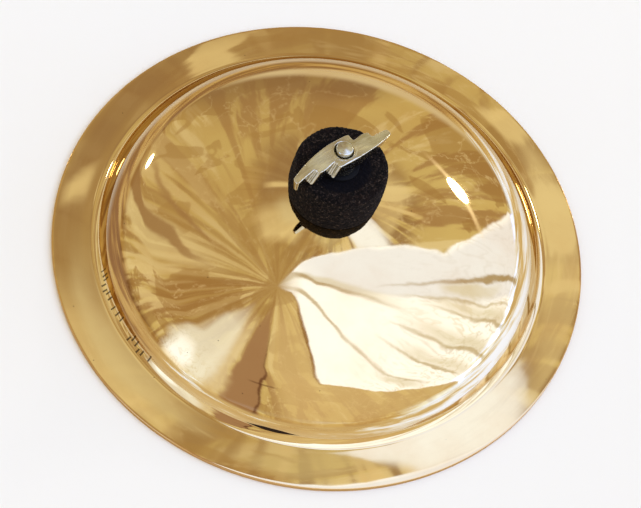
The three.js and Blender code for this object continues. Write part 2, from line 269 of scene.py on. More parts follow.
def finish_material(material, settings, links):
    """Give a material its shader: what is even all over it, and what varies."""
    tree = material.node_tree
    shader = add_node(tree, "ShaderNodeBsdfPrincipled", settings, links)
    add_node(tree, "ShaderNodeOutputMaterial", links={"Surface": shader})
    return material


def around_axis(tree, place):
    """The parts of a place, the place brought down to the XY plane, and its distance from Z."""
    parts = add_node(tree, "ShaderNodeSeparateXYZ", links={"Vector": place})
    level = add_node(
        tree, "ShaderNodeCombineXYZ", links={"X": parts.outputs["X"], "Y": parts.outputs["Y"]})
    distance = add_node(tree, "ShaderNodeVectorMath", {"operation": "LENGTH"}, {0: level})
    return parts, level, distance


class SectionPen:
    """Draws a section in the XZ plane and turns it about Z."""

    def __init__(self, x, z):
        self.shape = bmesh.new()
        self.start = self.shape.verts.new((x, 0, z))
        self.tip = self.start

    def line(self, x, z, parts=1):
        """Draw a straight line to a point, in a number of equal parts."""
        start = self.tip.co.copy()
        end = Vector((x, 0, z))
        for part in range(parts):
            made = bmesh.ops.extrude_vert_indiv(self.shape, verts=[self.tip])
            self.tip = made["verts"][0]
            self.tip.co = start.lerp(end, (part + 1) / parts)

    def lines(self, *points):
        """Draw straight lines from point to point."""
        for x, z in points:
            self.line(x, z)

    def arc(self, centre, turn, steps):
        """Carry on in an arc about a centre. A positive turn slopes the line further down."""
        made = bmesh.ops.spin(
            self.shape, geom=[self.tip], cent=(centre[0], 0, centre[1]), axis=(0, 1, 0),
            angle=turn, steps=steps)
        self.tip = made["geom_last"][0]

    def corner(self, x, z, rounding, turn, steps=5):
        """Draw a line to just short of a square corner, and go round it."""
        way = (Vector((x, 0, z)) - self.tip.co).normalized()
        start = Vector((x, 0, z)) - way * rounding
        self.line(start.x, start.z)
        side = Matrix.Rotation(math.copysign(math.pi / 2, turn), 3, "Y") @ way
        centre = start + side * rounding
        self.arc((centre.x, centre.z), turn, steps)

    def close(self):
        """Draw the last line back to the start."""
        self.shape.edges.new((self.tip, self.start))

    def turned(self, segments):
        """Turn the section once about Z, and return the closed shape."""
        bmesh.ops.spin(
            self.shape, geom=self.shape.verts[:] + self.shape.edges[:], cent=(0, 0, 0),
            axis=(0, 0, 1), angle=FULL_TURN, steps=segments, use_merge=True)
        bmesh.ops.remove_doubles(self.shape, verts=self.shape.verts, dist=0.005 * MM)
        bmesh.ops.recalc_face_normals(self.shape, faces=self.shape.faces)
        self.shape.normal_update()
        return self.shape


def slope_point(centre, radius, slope):
    """The point of an arc of a section where it slopes down by an angle."""
    return (centre[0] + radius * math.sin(slope), centre[1] + radius * math.cos(slope))


def within_one(value):
    """A value kept between 0 and 1."""
    return min(max(value, 0), 1)


def new_object(name, shape):
    """A new object in the scene from a bmesh, which is used up."""
    mesh = bpy.data.meshes.new(name)
    shape.to_mesh(mesh)
    shape.free()
    made = bpy.data.objects.new(name, mesh)
    bpy.context.scene.collection.objects.link(made)
    return made


def with_modifier(shape, kind, other=None, **settings):
    """A bmesh after one of Blender's modifiers, with a second bmesh as its cutter if it needs one."""
    worker = new_object("worker", shape)
    modifier = worker.modifiers.new("work", kind)
    cutter = None
    if other:
        cutter = new_object("cutter", other)
        modifier.object = cutter
    for name, value in settings.items():
        setattr(modifier, name, value)
    finished = worker.evaluated_get(bpy.context.evaluated_depsgraph_get())
    result = bmesh.new()
    result.from_mesh(finished.to_mesh())
    finished.to_mesh_clear()
    for used in filter(None, (worker, cutter)):
        bpy.data.meshes.remove(used.data)
    return result


def finish_piece(name, shape, materials, node, body=None, sharp=32):
    """Make the bmesh a piece with its finish, which stands for a CAD node and rides on its body."""
    piece = new_object(name, shape)
    for material in materials:
        piece.data.materials.append(material)
    piece.data.shade_smooth()
    piece.data.set_sharp_from_angle(angle=math.radians(sharp))
    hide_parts(node)
    if body:
        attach(piece, body)
    return piece


def threaded_bar(crest, root, pitch, bottom, top, steps=36):
    """A closed bar with a right-handed thread cut round it, flat at both ends."""
    shape = bmesh.new()
    flank = 0.31 * pitch
    land = 0.13 * pitch
    start = bottom - 2 * pitch
    profile = [
        shape.verts.new(at) for at in (
            (root, 0, start),
            (crest, 0, start + flank),
            (crest, 0, start + flank + land),
            (root, 0, start + 2 * flank + land),
            (root, 0, start + pitch))]
    edges = [shape.edges.new(pair) for pair in zip(profile, profile[1:])]
    turns = math.ceil((top - bottom) / pitch) + 3
    bmesh.ops.spin(
        shape, geom=profile + edges, cent=(0, 0, 0), axis=(0, 0, 1), angle=turns * FULL_TURN,
        steps=turns * steps, dvec=(0, 0, pitch / steps), use_merge=False)
    bmesh.ops.remove_doubles(shape, verts=shape.verts, dist=0.002 * MM)
    for height, way in ((bottom, -1), (top, 1)):
        cut = bmesh.ops.bisect_plane(
            shape, geom=shape.verts[:] + shape.edges[:] + shape.faces[:], dist=1e-7,
            plane_co=(0, 0, height), plane_no=(0, 0, way), clear_outer=True)
        rim = [part for part in cut["geom_cut"] if isinstance(part, bmesh.types.BMEdge)]
        bmesh.ops.edgenet_fill(shape, edges=rim)
    bmesh.ops.recalc_face_normals(shape, faces=shape.faces)
    return shape


def cut_bore(shape, bottom, top, thread, cone, segments):
    """Cut a threaded bore through a shape, and widen both its mouths with a cone.

    The thread is its outer radius, its inner radius and its pitch. The cone is its radius outside
    the face and how far out that lies, then its radius inside and how far in that lies.
    """
    cutter = threaded_bar(*thread, bottom - 1 * MM, top + 1 * MM, 28)
    shape = with_modifier(shape, "BOOLEAN", cutter, operation="DIFFERENCE", solver="EXACT")
    wide, outside, narrow, inside = cone
    for height, way in ((bottom, 1), (top, -1)):
        mouth = SectionPen(0, height - way * outside)
        mouth.lines(
            (wide, height - way * outside), (narrow, height + way * inside), (0, height + way * inside))
        shape = with_modifier(
            shape, "BOOLEAN", mouth.turned(segments), operation="DIFFERENCE", solver="EXACT")
    return shape


def bronze_material(sizes):
    """Mirror-polished and lacquered bell bronze with a fifth of tin.

    The polish is nearly a mirror, so the eye sees the room in it, drawn out round the dome. Up close
    it shows faint rings from the lathe and the buffing wheel, small pinholes of the casting, and an
    edge that is a little darker where the lacquer ends. The underside keeps the lathe's rings.
    """
    material, tree, place = new_material("polished_bell_bronze")
    parts, level, distance = around_axis(tree, place)
    # Lathe and buffing rings, 0.3 to 1 mm apart, much fainter on the polished face than below it
    rings = add_node(
        tree, "ShaderNodeTexNoise",
        {"noise_dimensions": "1D", "Scale": 1400, "Detail": 3, "Roughness": 0.7}, {"W": distance})
    facing = add_node(tree, "ShaderNodeSeparateXYZ", links={"Vector": place.node.outputs["Normal"]})
    below = add_node(
        tree, "ShaderNodeMapRange", {"From Min": 0.0, "From Max": -0.2}, {"Value": facing.outputs["Z"]})
    ring_height = add_node(tree, "ShaderNodeMapRange", {"To Min": 0.012, "To Max": 0.5}, {"Value": below})
    # Slow swells, 12 to 30 mm wide, that the polishing wheel leaves, clouds of tarnish 20 to 60 mm
    # across under the lacquer, and a finger-wide haze
    swells, clouds, haze = (
        add_node(
            tree, "ShaderNodeTexNoise", {"Scale": scale, "Detail": detail, "Roughness": roughness},
            {"Vector": place})
        for scale, detail, roughness in ((55, 1.5, 0.4), (28, 4, 0.6), (90, 5, 0.65)))
    swell_bump = add_node(
        tree, "ShaderNodeBump", {"Strength": 0.35, "Distance": 0.12 * MM}, {"Height": swells})
    ring_bump = add_node(
        tree, "ShaderNodeBump", {"Distance": 0.05 * MM},
        {"Height": rings, "Strength": ring_height, "Normal": swell_bump})
    # Low on the steep wall, where the bell mirrors the floor, bands that run round it are painted into
    # the colour: a painted reflection of the tent's folds, brown on the far side and pale to white on the
    # right
    heading = add_node(tree, "ShaderNodeVectorMath", {"operation": "NORMALIZE"}, {0: level})
    outwards = add_node(tree, "ShaderNodeCombineXYZ", links={"Z": distance})
    reflection_fold_place = add_node(
        tree, "ShaderNodeVectorMath", {"operation": "MULTIPLY_ADD", 1: (0, 0, 260)},
        {0: outwards, 2: heading})
    reflection_folds = add_node(
        tree, "ShaderNodeTexNoise", {"Scale": 1.7, "Detail": 4, "Roughness": 0.6}, {"Vector": reflection_fold_place})
    lighter_to_right, darker_to_far, wall_shift = (
        add_node(tree, "ShaderNodeVectorMath", {"operation": "DOT_PRODUCT", 1: way}, {0: heading})
        for way in ((0.11, -0.01, 0), (0, 1, 0), (0, 9.5 * MM, 0)))
    wall_place = add_node(tree, "ShaderNodeMath", {"operation": "ADD"}, {0: distance, 1: wall_shift})
    bearing = add_node(
        tree, "ShaderNodeMath", {"operation": "ARCTAN2"}, {0: parts.outputs["Y"], 1: parts.outputs["X"]})
    from_near = add_node(tree, "ShaderNodeMath", {"operation": "ADD", 1: math.radians(90)}, {0: bearing})
    near_offset = add_node(tree, "ShaderNodeMath", {"operation": "ABSOLUTE"}, {0: from_near})
    share = {}
    for name, source, start, end, most in (
            ("tarnish", clouds, 0.42, 0.8, 0.22),
            # The last 0.6 mm before the rim, and the ground edge itself, are browner
            ("rim", distance, 119.9 * MM, 120.5 * MM, 0.45),
            ("far side", darker_to_far, 0.4, 0.95, 0.12),
            ("wall", wall_place, 85 * MM, 88 * MM, 1),
            # Further down the wall the painted reflection is paler, standing in for the brim's gold mirrored
            # there
            ("paler low reflection", wall_place, 92 * MM, 95.5 * MM, 0.62),
            ("before brim", distance, 100.5 * MM, 97.5 * MM, 1),
            ("dark line width", near_offset, 0.13, 0.02, 0.4 * MM)):
        share[name] = add_node(
            tree, "ShaderNodeMapRange",
            {"interpolation_type": "SMOOTHSTEP", "From Min": start, "From Max": end, "To Max": most},
            {"Value": source})
    stain = add_node(tree, "ShaderNodeMath", {"operation": "MAXIMUM"}, {0: share["tarnish"], 1: share["rim"]})
    metal = add_node(
        tree, "ShaderNodeMix", {"data_type": "RGBA", 6: sizes.bronze, 7: sizes.bronze_shade}, {0: stain})
    # The painted reflection: lighter to the right, darker to the far side
    painted_reflection_level = add_node(tree, "ShaderNodeMath", {"operation": "ADD"}, {0: reflection_folds, 1: lighter_to_right})
    painted_reflection_level = add_node(
        tree, "ShaderNodeMath", {"operation": "SUBTRACT"}, {0: painted_reflection_level, 1: share["far side"]})
    painted_reflection_colour = add_node(
        tree, "ShaderNodeValToRGB", {"stops": (
            (0.3, from_hex("#94693f")),
            (0.36, from_hex("#a87c48")),
            (0.4, from_hex("#c49a58")),
            (0.55, from_hex("#d8b470")),
            (0.6, from_hex("#f2e4c4")),
            (0.66, from_hex("#ffffff")))},
        {"Fac": painted_reflection_level})
    painted_reflection_colour = add_node(
        tree, "ShaderNodeMix", {"data_type": "RGBA", 7: from_hex("#e8dfcc")},
        {0: share["paler low reflection"], 6: painted_reflection_colour})
    # Over the wall's ring the bronze colour gives way to the painted reflection
    painted_reflection_ring = add_node(
        tree, "ShaderNodeMath", {"operation": "MULTIPLY"}, {0: share["wall"], 1: share["before brim"]})
    metal = add_node(tree, "ShaderNodeMix", {"data_type": "RGBA"}, {0: painted_reflection_ring, 6: metal, 7: painted_reflection_colour})
    # Short dark dashes across the foot on the left, about 2 mm apart and 2 mm long, and some left out
    dark_dashes = add_node(
        tree, "ShaderNodeTexVoronoi", {"voronoi_dimensions": "1D", "Scale": 44, "Randomness": 0.8},
        {"W": bearing})
    chance = add_node(tree, "ShaderNodeSeparateColor", links={"Color": dark_dashes.outputs["Color"]})
    marks = add_node(
        tree, "ShaderNodeMapRange", {"From Min": 0.25, "From Max": 0.12, "To Max": 0.8},
        {"Value": dark_dashes.outputs["Distance"]})
    kept = add_node(
        tree, "ShaderNodeMath", {"operation": "GREATER_THAN", 1: 0.35}, {0: chance.outputs["Red"]})
    dash_middle = add_node(
        tree, "ShaderNodeMapRange", {"To Min": 99.3 * MM, "To Max": 101.2 * MM},
        {"Value": chance.outputs["Green"]})
    dash_reach = add_node(
        tree, "ShaderNodeMath", {"operation": "COMPARE", 2: 1 * MM}, {0: distance, 1: dash_middle})
    on_left = add_node(
        tree, "ShaderNodeMath", {"operation": "COMPARE", 1: math.radians(-138), 2: math.radians(15)},
        {0: bearing})
    for limit in (kept, dash_reach, on_left):
        marks = add_node(tree, "ShaderNodeMath", {"operation": "MULTIPLY"}, {0: marks, 1: limit})
    # A dark line in the foot on the near side, widest in its middle
    off_line = add_node(tree, "ShaderNodeMath", {"operation": "SUBTRACT", 1: 99.3 * MM}, {0: distance})
    off_line = add_node(tree, "ShaderNodeMath", {"operation": "ABSOLUTE"}, {0: off_line})
    dark_foot_line = add_node(
        tree, "ShaderNodeMath", {"operation": "LESS_THAN"}, {0: off_line, 1: share["dark line width"]})
    # Pinholes and grit of the casting, 0.3 to 0.5 mm, in a few places only
    cells = add_node(
        tree, "ShaderNodeTexVoronoi", {"feature": "F1", "Scale": 260, "Randomness": 1.0}, {"Vector": place})
    pin = add_node(
        tree, "ShaderNodeMapRange", {"From Min": 0.07, "From Max": 0.035},
        {"Value": cells.outputs["Distance"]})
    chance = add_node(tree, "ShaderNodeSeparateColor", links={"Color": cells.outputs["Color"]})
    chosen = add_node(
        tree, "ShaderNodeMath", {"operation": "GREATER_THAN", 1: 0.93}, {0: chance.outputs["Red"]})
    pinholes = add_node(tree, "ShaderNodeMath", {"operation": "MULTIPLY"}, {0: pin, 1: chosen})
    marks = add_node(tree, "ShaderNodeMath", {"operation": "MAXIMUM"}, {0: marks, 1: dark_foot_line})
    marks = add_node(tree, "ShaderNodeMath", {"operation": "MAXIMUM"}, {0: pinholes, 1: marks})
    colour = add_node(
        tree, "ShaderNodeMix", {"data_type": "RGBA", 7: from_hex("#2b1c12")}, {0: marks, 6: metal})
    # The buffed face is nearly a mirror and varies with the haze; below, only the lathe has been
    polish = add_node(
        tree, "ShaderNodeMapRange", {"From Min": 0.35, "From Max": 0.75, "To Min": 0.028, "To Max": 0.062},
        {"Value": haze})
    roughness = add_node(
        tree, "ShaderNodeMix", {"data_type": "FLOAT", 3: 0.3}, {0: below, 2: polish})
    return finish_material(
        material,
        {"Metallic": 1.0, "Specular Tint": from_hex("#e2cca6"), "Coat Weight": 0.12, "Coat Roughness": 0.03},
        {"Base Color": colour, "Roughness": roughness, "Normal": ring_bump})


def felt_material(sizes):
    """Pressed wool felt, dyed near black, with paler fibres that the dye hasn't reached.

    Nothing on it shines. The eye sees tufts and pits about a millimetre wide, pale specks half as
    large, and a soft lighter edge where loose wool stands out against the light.
    """
    material, tree, place = new_material("pressed_wool_felt")
    tufts = add_node(
        tree, "ShaderNodeTexNoise", {"Scale": 900, "Detail": 3, "Roughness": 0.8, "Distortion": 0.5},
        {"Vector": place})
    patches = add_node(
        tree, "ShaderNodeTexNoise", {"Scale": 260, "Detail": 2, "Roughness": 0.6}, {"Vector": place})
    shade = add_node(
        tree, "ShaderNodeValToRGB", {"stops": (
            (0.0, from_hex("#020101")),
            (0.44, from_hex("#060403")),
            (0.52, sizes.wool),
            (0.6, from_hex("#2a2019")),
            (0.7, sizes.pale_wool))},
        {"Fac": tufts})
    reddish = add_node(
        tree, "ShaderNodeMapRange", {"From Min": 0.5, "From Max": 0.75, "To Max": 0.5}, {"Value": patches})
    colour = add_node(
        tree, "ShaderNodeMix", {"data_type": "RGBA", 7: from_hex("#1d0f09")}, {0: reddish, 6: shade})
    # Within 12 mm of the axis the felt is painted near black: a painted shadow of the wing nut and its washer
    distance = around_axis(tree, place)[2]
    under_nut = add_node(
        tree, "ShaderNodeMapRange",
        {"interpolation_type": "SMOOTHSTEP", "From Min": 14.2 * MM, "From Max": 12.2 * MM, "To Max": 0.92},
        {"Value": distance})
    # Painted shadow of the wing nut on the felt
    colour = add_node(
        tree, "ShaderNodeMix", {"data_type": "RGBA", 7: from_hex("#040307")}, {0: under_nut, 6: colour})
    bump = add_node(tree, "ShaderNodeBump", {"Strength": 1.0, "Distance": 0.5 * MM}, {"Height": tufts})
    return finish_material(
        material,
        {"Roughness": 1.0, "Specular IOR Level": 0.15, "Sheen Weight": 0.06, "Sheen Roughness": 0.5,
         "Sheen Tint": from_hex("#8a776a")},
        {"Base Color": colour, "Normal": bump})


def loose_wool_material(sizes):
    """Single wool fibres that have worked loose, dusty brown and matt."""
    material, tree, place = new_material("loose_wool")
    strands = add_node(tree, "ShaderNodeTexNoise", {"Scale": 300, "Detail": 1}, {"Vector": place})
    colour = add_node(
        tree, "ShaderNodeValToRGB", {"stops": ((0.45, from_hex("#0f0a08")), (0.6, sizes.pale_wool))},
        {"Fac": strands})
    return finish_material(material, {"Roughness": 0.9}, {"Base Color": colour})


def nylon_material(sizes):
    """Natural moulded nylon: milky, a little see-through, with the mould's satin skin."""
    material, tree, place = new_material("moulded_nylon")
    flow = add_node(tree, "ShaderNodeTexNoise", {"Scale": 400, "Detail": 3}, {"Vector": place})
    colour = add_node(
        tree, "ShaderNodeMix", {"data_type": "RGBA", 6: sizes.nylon, 7: from_hex("#cfcbbd")}, {0: flow})
    bump = add_node(tree, "ShaderNodeBump", {"Strength": 0.15, "Distance": 0.05 * MM}, {"Height": flow})
    return finish_material(
        material,
        {"Roughness": 0.38, "IOR": 1.53, "Subsurface Weight": 0.2, "Subsurface Scale": 0.5,
         "Subsurface Radius": (0.002, 0.0018, 0.0015)},
        {"Base Color": colour, "Normal": bump})


def shadow_black_nylon_material(sizes):
    """Black moulded nylon with the mould's satin skin, a little scuffed where the nut turns on it. Its
    near-black colour is painted shade: the washer stands in for the wing nut's shadow on the felt.
    """
    material, tree, place = new_material("shadow_black_nylon")
    scuffs = add_node(tree, "ShaderNodeTexNoise", {"Scale": 900, "Detail": 3}, {"Vector": place})
    roughness = add_node(tree, "ShaderNodeMapRange", {"To Min": 0.6, "To Max": 0.8}, {"Value": scuffs})
    bump = add_node(tree, "ShaderNodeBump", {"Strength": 0.2, "Distance": 0.03 * MM}, {"Height": scuffs})
    return finish_material(
        material, {"Base Color": sizes.black_nylon, "IOR": 1.53, "Specular IOR Level": 0.15},
        {"Roughness": roughness, "Normal": bump})


def zinc_material(sizes):
    """Bright zinc plate on turned or pressed steel, with a faint blue and straw bloom.

    The tool marks under the plate run round the axis, 0.1 mm apart; drawn a little coarser here.
    """
    material, tree, place = new_material("bright_zinc_plate")
    distance = around_axis(tree, place)[2]
    marks = add_node(
        tree, "ShaderNodeTexNoise", {"noise_dimensions": "1D", "Scale": 5000, "Detail": 2}, {"W": distance})
    bloom = add_node(
        tree, "ShaderNodeTexNoise", {"Scale": 160, "Detail": 4, "Roughness": 0.6}, {"Vector": place})
    colour = add_node(
        tree, "ShaderNodeValToRGB", {"stops": (
            (0.3, from_hex("#b4b6b4")),
            (0.5, sizes.zinc),
            (0.7, from_hex("#cbc5b2")))},
        {"Fac": bloom})
    roughness = add_node(tree, "ShaderNodeMapRange", {"To Min": 0.12, "To Max": 0.28}, {"Value": bloom})
    bump = add_node(tree, "ShaderNodeBump", {"Strength": 0.3, "Distance": 0.02 * MM}, {"Height": marks})
    return finish_material(
        material, {"Metallic": 1.0}, {"Base Color": colour, "Roughness": roughness, "Normal": bump})


def nickel_material(sizes):
    """Satin nickel plate on a tumbled zinc die casting.

    Tumbling leaves the faces satin, with fine scratches mostly along the wings, and rubs the edges
    bright; that brightness on the upper edges is partly a painted highlight. The wear and highlight attribute
    says how sharply the surface turns outwards at each point, on the upper half.
    """
    material, tree, place = new_material("satin_nickel_casting")
    along = add_node(
        tree, "ShaderNodeMapping",
        {"vector_type": "TEXTURE", "Rotation": (0, 0, sizes.direction), "Scale": (6, 1, 1)},
        {"Vector": place})
    scratches = add_node(
        tree, "ShaderNodeTexNoise", {"Scale": 2600, "Detail": 4, "Roughness": 0.65}, {"Vector": along})
    clouds = add_node(
        tree, "ShaderNodeTexNoise", {"Scale": 420, "Detail": 4, "Roughness": 0.6}, {"Vector": along})
    wear = add_node(tree, "ShaderNodeAttribute", {"attribute_name": "wear"}).outputs["Fac"]
    face = add_node(
        tree, "ShaderNodeValToRGB", {"stops": (
            (0.34, from_hex("#b0a78c")),
            (0.5, sizes.nickel),
            (0.66, from_hex("#d6cfb8")))},
        {"Fac": clouds})
    # Rubbed edges, lightened also as a painted highlight
    colour = add_node(
        tree, "ShaderNodeMix", {"data_type": "RGBA", 7: from_hex("#f0e4c4")}, {0: wear, 6: face})
    satin = add_node(
        tree, "ShaderNodeMapRange", {"From Min": 0.3, "From Max": 0.7, "To Min": 0.14, "To Max": 0.26},
        {"Value": scratches})
    roughness = add_node(tree, "ShaderNodeMix", {"data_type": "FLOAT", 3: 0.14}, {0: wear, 2: satin})
    fine = add_node(
        tree, "ShaderNodeBump", {"Strength": 0.25, "Distance": 0.03 * MM}, {"Height": scratches})
    skin = add_node(
        tree, "ShaderNodeBump", {"Strength": 0.22, "Distance": 0.1 * MM}, {"Height": clouds, "Normal": fine})
    return finish_material(
        material, {"Metallic": 1.0}, {"Base Color": colour, "Roughness": roughness, "Normal": skin})


class AddBell(bpy.types.Operator):
    """Turn the bell from its section, with its rim and hole rounded, and polish it"""

    bl_idname = "bell_cymbal.add_bell"
    bl_label = "Bell"

    def execute(self, context):
        sizes = context.scene.bell_sizes
        rim_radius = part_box("bell_cymbal")[1].x
        wall = sizes.wall_slope
        inner = sizes.brim_inner_slope
        outer = sizes.brim_outer_slope
        foot_edge = sizes.foot_diameter / 2
        hole = sizes.hole_diameter / 2
        soft = sizes.edge_break
        thickness = sizes.thickness
        crown_radius = sizes.crown_radius
        shoulder_radius = sizes.shoulder_radius
        foot_radius = sizes.foot_radius
        # The wall touches both the shoulder and the foot, which settles where the crown ends
        brim_radius = (rim_radius - foot_edge) / (math.sin(outer) - math.sin(inner))
        brim = (
            foot_edge - brim_radius * math.sin(inner),
            sizes.rim_thickness - brim_radius * math.cos(outer))
        foot = slope_point(slope_point(brim, brim_radius, inner), foot_radius, inner)
        crown = (0, sizes.rim_thickness + sizes.crown_rise - crown_radius)
        reach = foot[0] * math.sin(wall) + (foot[1] - crown[1]) * math.cos(wall)
        reach -= foot_radius + shoulder_radius
        shoulder_slope = wall - math.acos(reach / (crown_radius - shoulder_radius))
        shoulder = slope_point(crown, crown_radius - shoulder_radius, shoulder_slope)

        # The top face, from the hole's rounded edge out to the rim
        lip_slope = math.asin((hole + soft) / (crown_radius - soft))
        lip = slope_point(crown, crown_radius - soft, lip_slope)
        section = SectionPen(hole, lip[1])
        section.arc(lip, math.pi / 2 + lip_slope, 5)
        section.arc(crown, shoulder_slope - lip_slope, 44)
        section.arc(shoulder, wall - shoulder_slope, 26)
        section.line(*slope_point(foot, -foot_radius, wall))
        section.arc(foot, inner - wall, 22)
        edge_slope = math.asin((rim_radius - soft - brim[0]) / (brim_radius - soft))
        edge = slope_point(brim, brim_radius - soft, edge_slope)
        section.arc(brim, edge_slope - inner, 20)
        section.arc(edge, math.pi / 2 - edge_slope, 6)
        # The ground edge, the flat band it stands on, and the underside back to the hole
        section.line(rim_radius, soft)
        section.arc((rim_radius - soft, soft), math.pi / 2, 6)
        under = brim_radius - thickness
        band_slope = math.acos(-brim[1] / under)
        section.line(*slope_point(brim, under, band_slope))
        section.arc(brim, inner - band_slope, 16)
        section.arc(foot, wall - inner, 16)
        section.line(*slope_point(shoulder, shoulder_radius - thickness, wall))
        section.arc(shoulder, shoulder_slope - wall, 20)
        low_slope = math.asin((hole + soft) / (crown_radius - thickness + soft))
        section.arc(crown, low_slope - shoulder_slope, 34)
        low = slope_point(crown, crown_radius - thickness + soft, low_slope)
        section.arc(low, math.pi / 2 - low_slope, 5)
        section.close()
        finish_piece(
            "bronze_bell", section.turned(288), [bronze_material(sizes)],
            "bell_cymbal", "bell")
        return {"FINISHED"}


def add_loose_fibres(shape, sizes, seed):
    """Lay short curved fibres over the felt's outer faces and join them to its mesh."""
    chance = random.Random(seed)
    # A spin stores its faces in an order that changes from run to run, so they are sorted by place
    faces = sorted(
        (face for face in shape.faces if face.tag), key=lambda face: face.calc_center_median()[:])
    areas = [face.calc_area() for face in faces]
    curve = bpy.data.curves.new("fibres", "CURVE")
    curve.dimensions = "3D"
    curve.bevel_depth = 0.045 * MM
    curve.bevel_resolution = 0
    for face in chance.choices(faces, areas, k=sizes.fibre_count):
        at = face.calc_center_median()
        out = face.normal.copy()
        way = out.orthogonal().normalized()
        way.rotate(Matrix.Rotation(chance.uniform(0, FULL_TURN), 3, out))
        length = sizes.fibre_length * chance.uniform(0.4, 1.2) / 4
        curl = chance.uniform(-0.9, 0.9)
        lift = chance.uniform(0.05, 0.34) ** 1.5
        spline = curve.splines.new("POLY")
        spline.points.add(4)
        at -= out * 0.1 * MM
        for step, point in enumerate(spline.points):
            point.co = (*at, 1)
            point.radius = 1.15 - 0.2 * step
            way.rotate(Matrix.Rotation(curl * chance.uniform(0.3, 1.3), 3, out))
            at = at + way * length + out * length * lift * (1.6 - step)
    strands = bpy.data.objects.new("fibres", curve)
    bpy.context.scene.collection.objects.link(strands)
    mesh = strands.to_mesh()
    # The felt's second material is the loose wool's
    for face in mesh.polygons:
        face.material_index = 1
    shape.from_mesh(mesh)
    strands.to_mesh_clear()
    bpy.data.curves.remove(curve)


def roughen_felt(shape, height, low, high, inner, outer):
    """Raise tufts on the felt's free faces: its side, and its ends outside what clamps them."""
    for vert in shape.verts:
        distance = vert.co.xy.length
        free = within_one((distance - inner) / (2 * MM))
        ends = min((vert.co.z - low) / (1.2 * MM), 1) if distance > outer - 3 * MM else 0
        if vert.co.z > high - 2.2 * MM:
            ends = 1
        share = free * within_one(ends)
        if share > 0:
            tuft = noise.fractal(vert.co / (1.1 * MM), 0.7, 2.2, 3)
            swell = noise.noise(vert.co / (7 * MM))
            vert.co += vert.normal * share * height * (0.75 * tuft + 0.8 * swell)


class AddFelts(bpy.types.Operator):
    """Turn both felts, raise their tufts, and lay loose fibres on the upper one"""

    bl_idname = "bell_cymbal.add_felts"
    bl_label = "Felts"

    def execute(self, context):
        sizes = context.scene.felt_sizes
        bell = context.scene.bell_sizes
        crown = (0, bell.rim_thickness + bell.crown_rise - bell.crown_radius)
        wool = felt_material(sizes)
        loose = loose_wool_material(sizes)
        bore = SLEEVE_RADIUS + SEAT_GAP
        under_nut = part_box("nut_washer")[1].x

        # The upper felt follows the crown below, stands out at its side and has a rounded top edge
        low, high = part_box("top_felt")
        radius = high.x
        side = radius - sizes.bulge
        seat = bell.crown_radius + SEAT_GAP
        seat_slope = math.asin(side / seat)
        pen = SectionPen(*slope_point(crown, seat, math.asin(bore / seat)))
        pen.arc(crown, seat_slope - math.asin(bore / seat), 12)
        foot_height = pen.tip.co.z
        half = (high.z - sizes.edge_round - foot_height) / 2
        belly = (half ** 2 + sizes.bulge ** 2) / (2 * sizes.bulge)
        lean = math.asin(half / belly)
        pen.arc((radius - belly, foot_height + half), -2 * lean, 46)
        top_edge = (pen.tip.co.x - sizes.edge_round, high.z - sizes.edge_round)
        pen.line(top_edge[0] + sizes.edge_round, top_edge[1])
        pen.arc(top_edge, -math.pi / 2, 10)
        pen.line(under_nut, high.z, 26)
        pen.line(bore, high.z, 3)
        pen.close()
        shape = pen.turned(320)
        roughen_felt(shape, sizes.tuft_height, low.z + 1 * MM, high.z, under_nut, side)
        # It was clamped a little askew and leans to the far right
        for vert in shape.verts:
            share = within_one((vert.co.xy.length - 9 * MM) / (9 * MM))
            share *= within_one((vert.co.z - low.z - 4 * MM) / (12 * MM))
            vert.co += Vector((0.6 * MM, 0.9 * MM, 0)) * share
        shape.normal_update()
        for face in shape.faces:
            middle = face.calc_center_median()
            outside = middle.z > low.z + 1.2 * MM and middle.xy.length > 13 * MM
            face.tag = outside and face.normal.z > -0.5
        add_loose_fibres(shape, sizes, 11)
        piece = finish_piece("upper_wool_felt", shape, [wool, loose], "top_felt", sharp=180)
        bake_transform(piece)

        # The lower felt lies in its cup, over the sleeve's flange, and fills the crown's hollow
        low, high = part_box("bottom_felt")
        radius = high.x
        soft = sizes.lower_edge_round
        roof = bell.crown_radius - bell.thickness - SEAT_GAP
        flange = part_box("rod_sleeve")[1].x + SEAT_GAP
        pen = SectionPen(bore, low.z + 1.8 * MM)
        pen.line(flange, low.z + 1.8 * MM, 3)
        pen.line(flange, low.z, 2)
        pen.line(radius - soft, low.z, 12)
        pen.arc((radius - soft, low.z + soft), -math.pi / 2, 5)
        edge_slope = math.asin((radius - soft) / (roof - soft))
        edge = slope_point(crown, roof - soft, edge_slope)
        pen.line(edge[0] + soft, edge[1], 12)
        pen.arc(edge, edge_slope - math.pi / 2, 5)
        pen.arc(crown, math.asin(bore / roof) - edge_slope, 16)
        pen.close()
        shape = pen.turned(200)
        roughen_felt(shape, sizes.tuft_height, low.z + 2 * MM, high.z + 9 * MM, flange, radius)
        piece = finish_piece("lower_wool_felt", shape, [wool], "bottom_felt", sharp=180)
        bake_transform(piece)
        return {"FINISHED"}


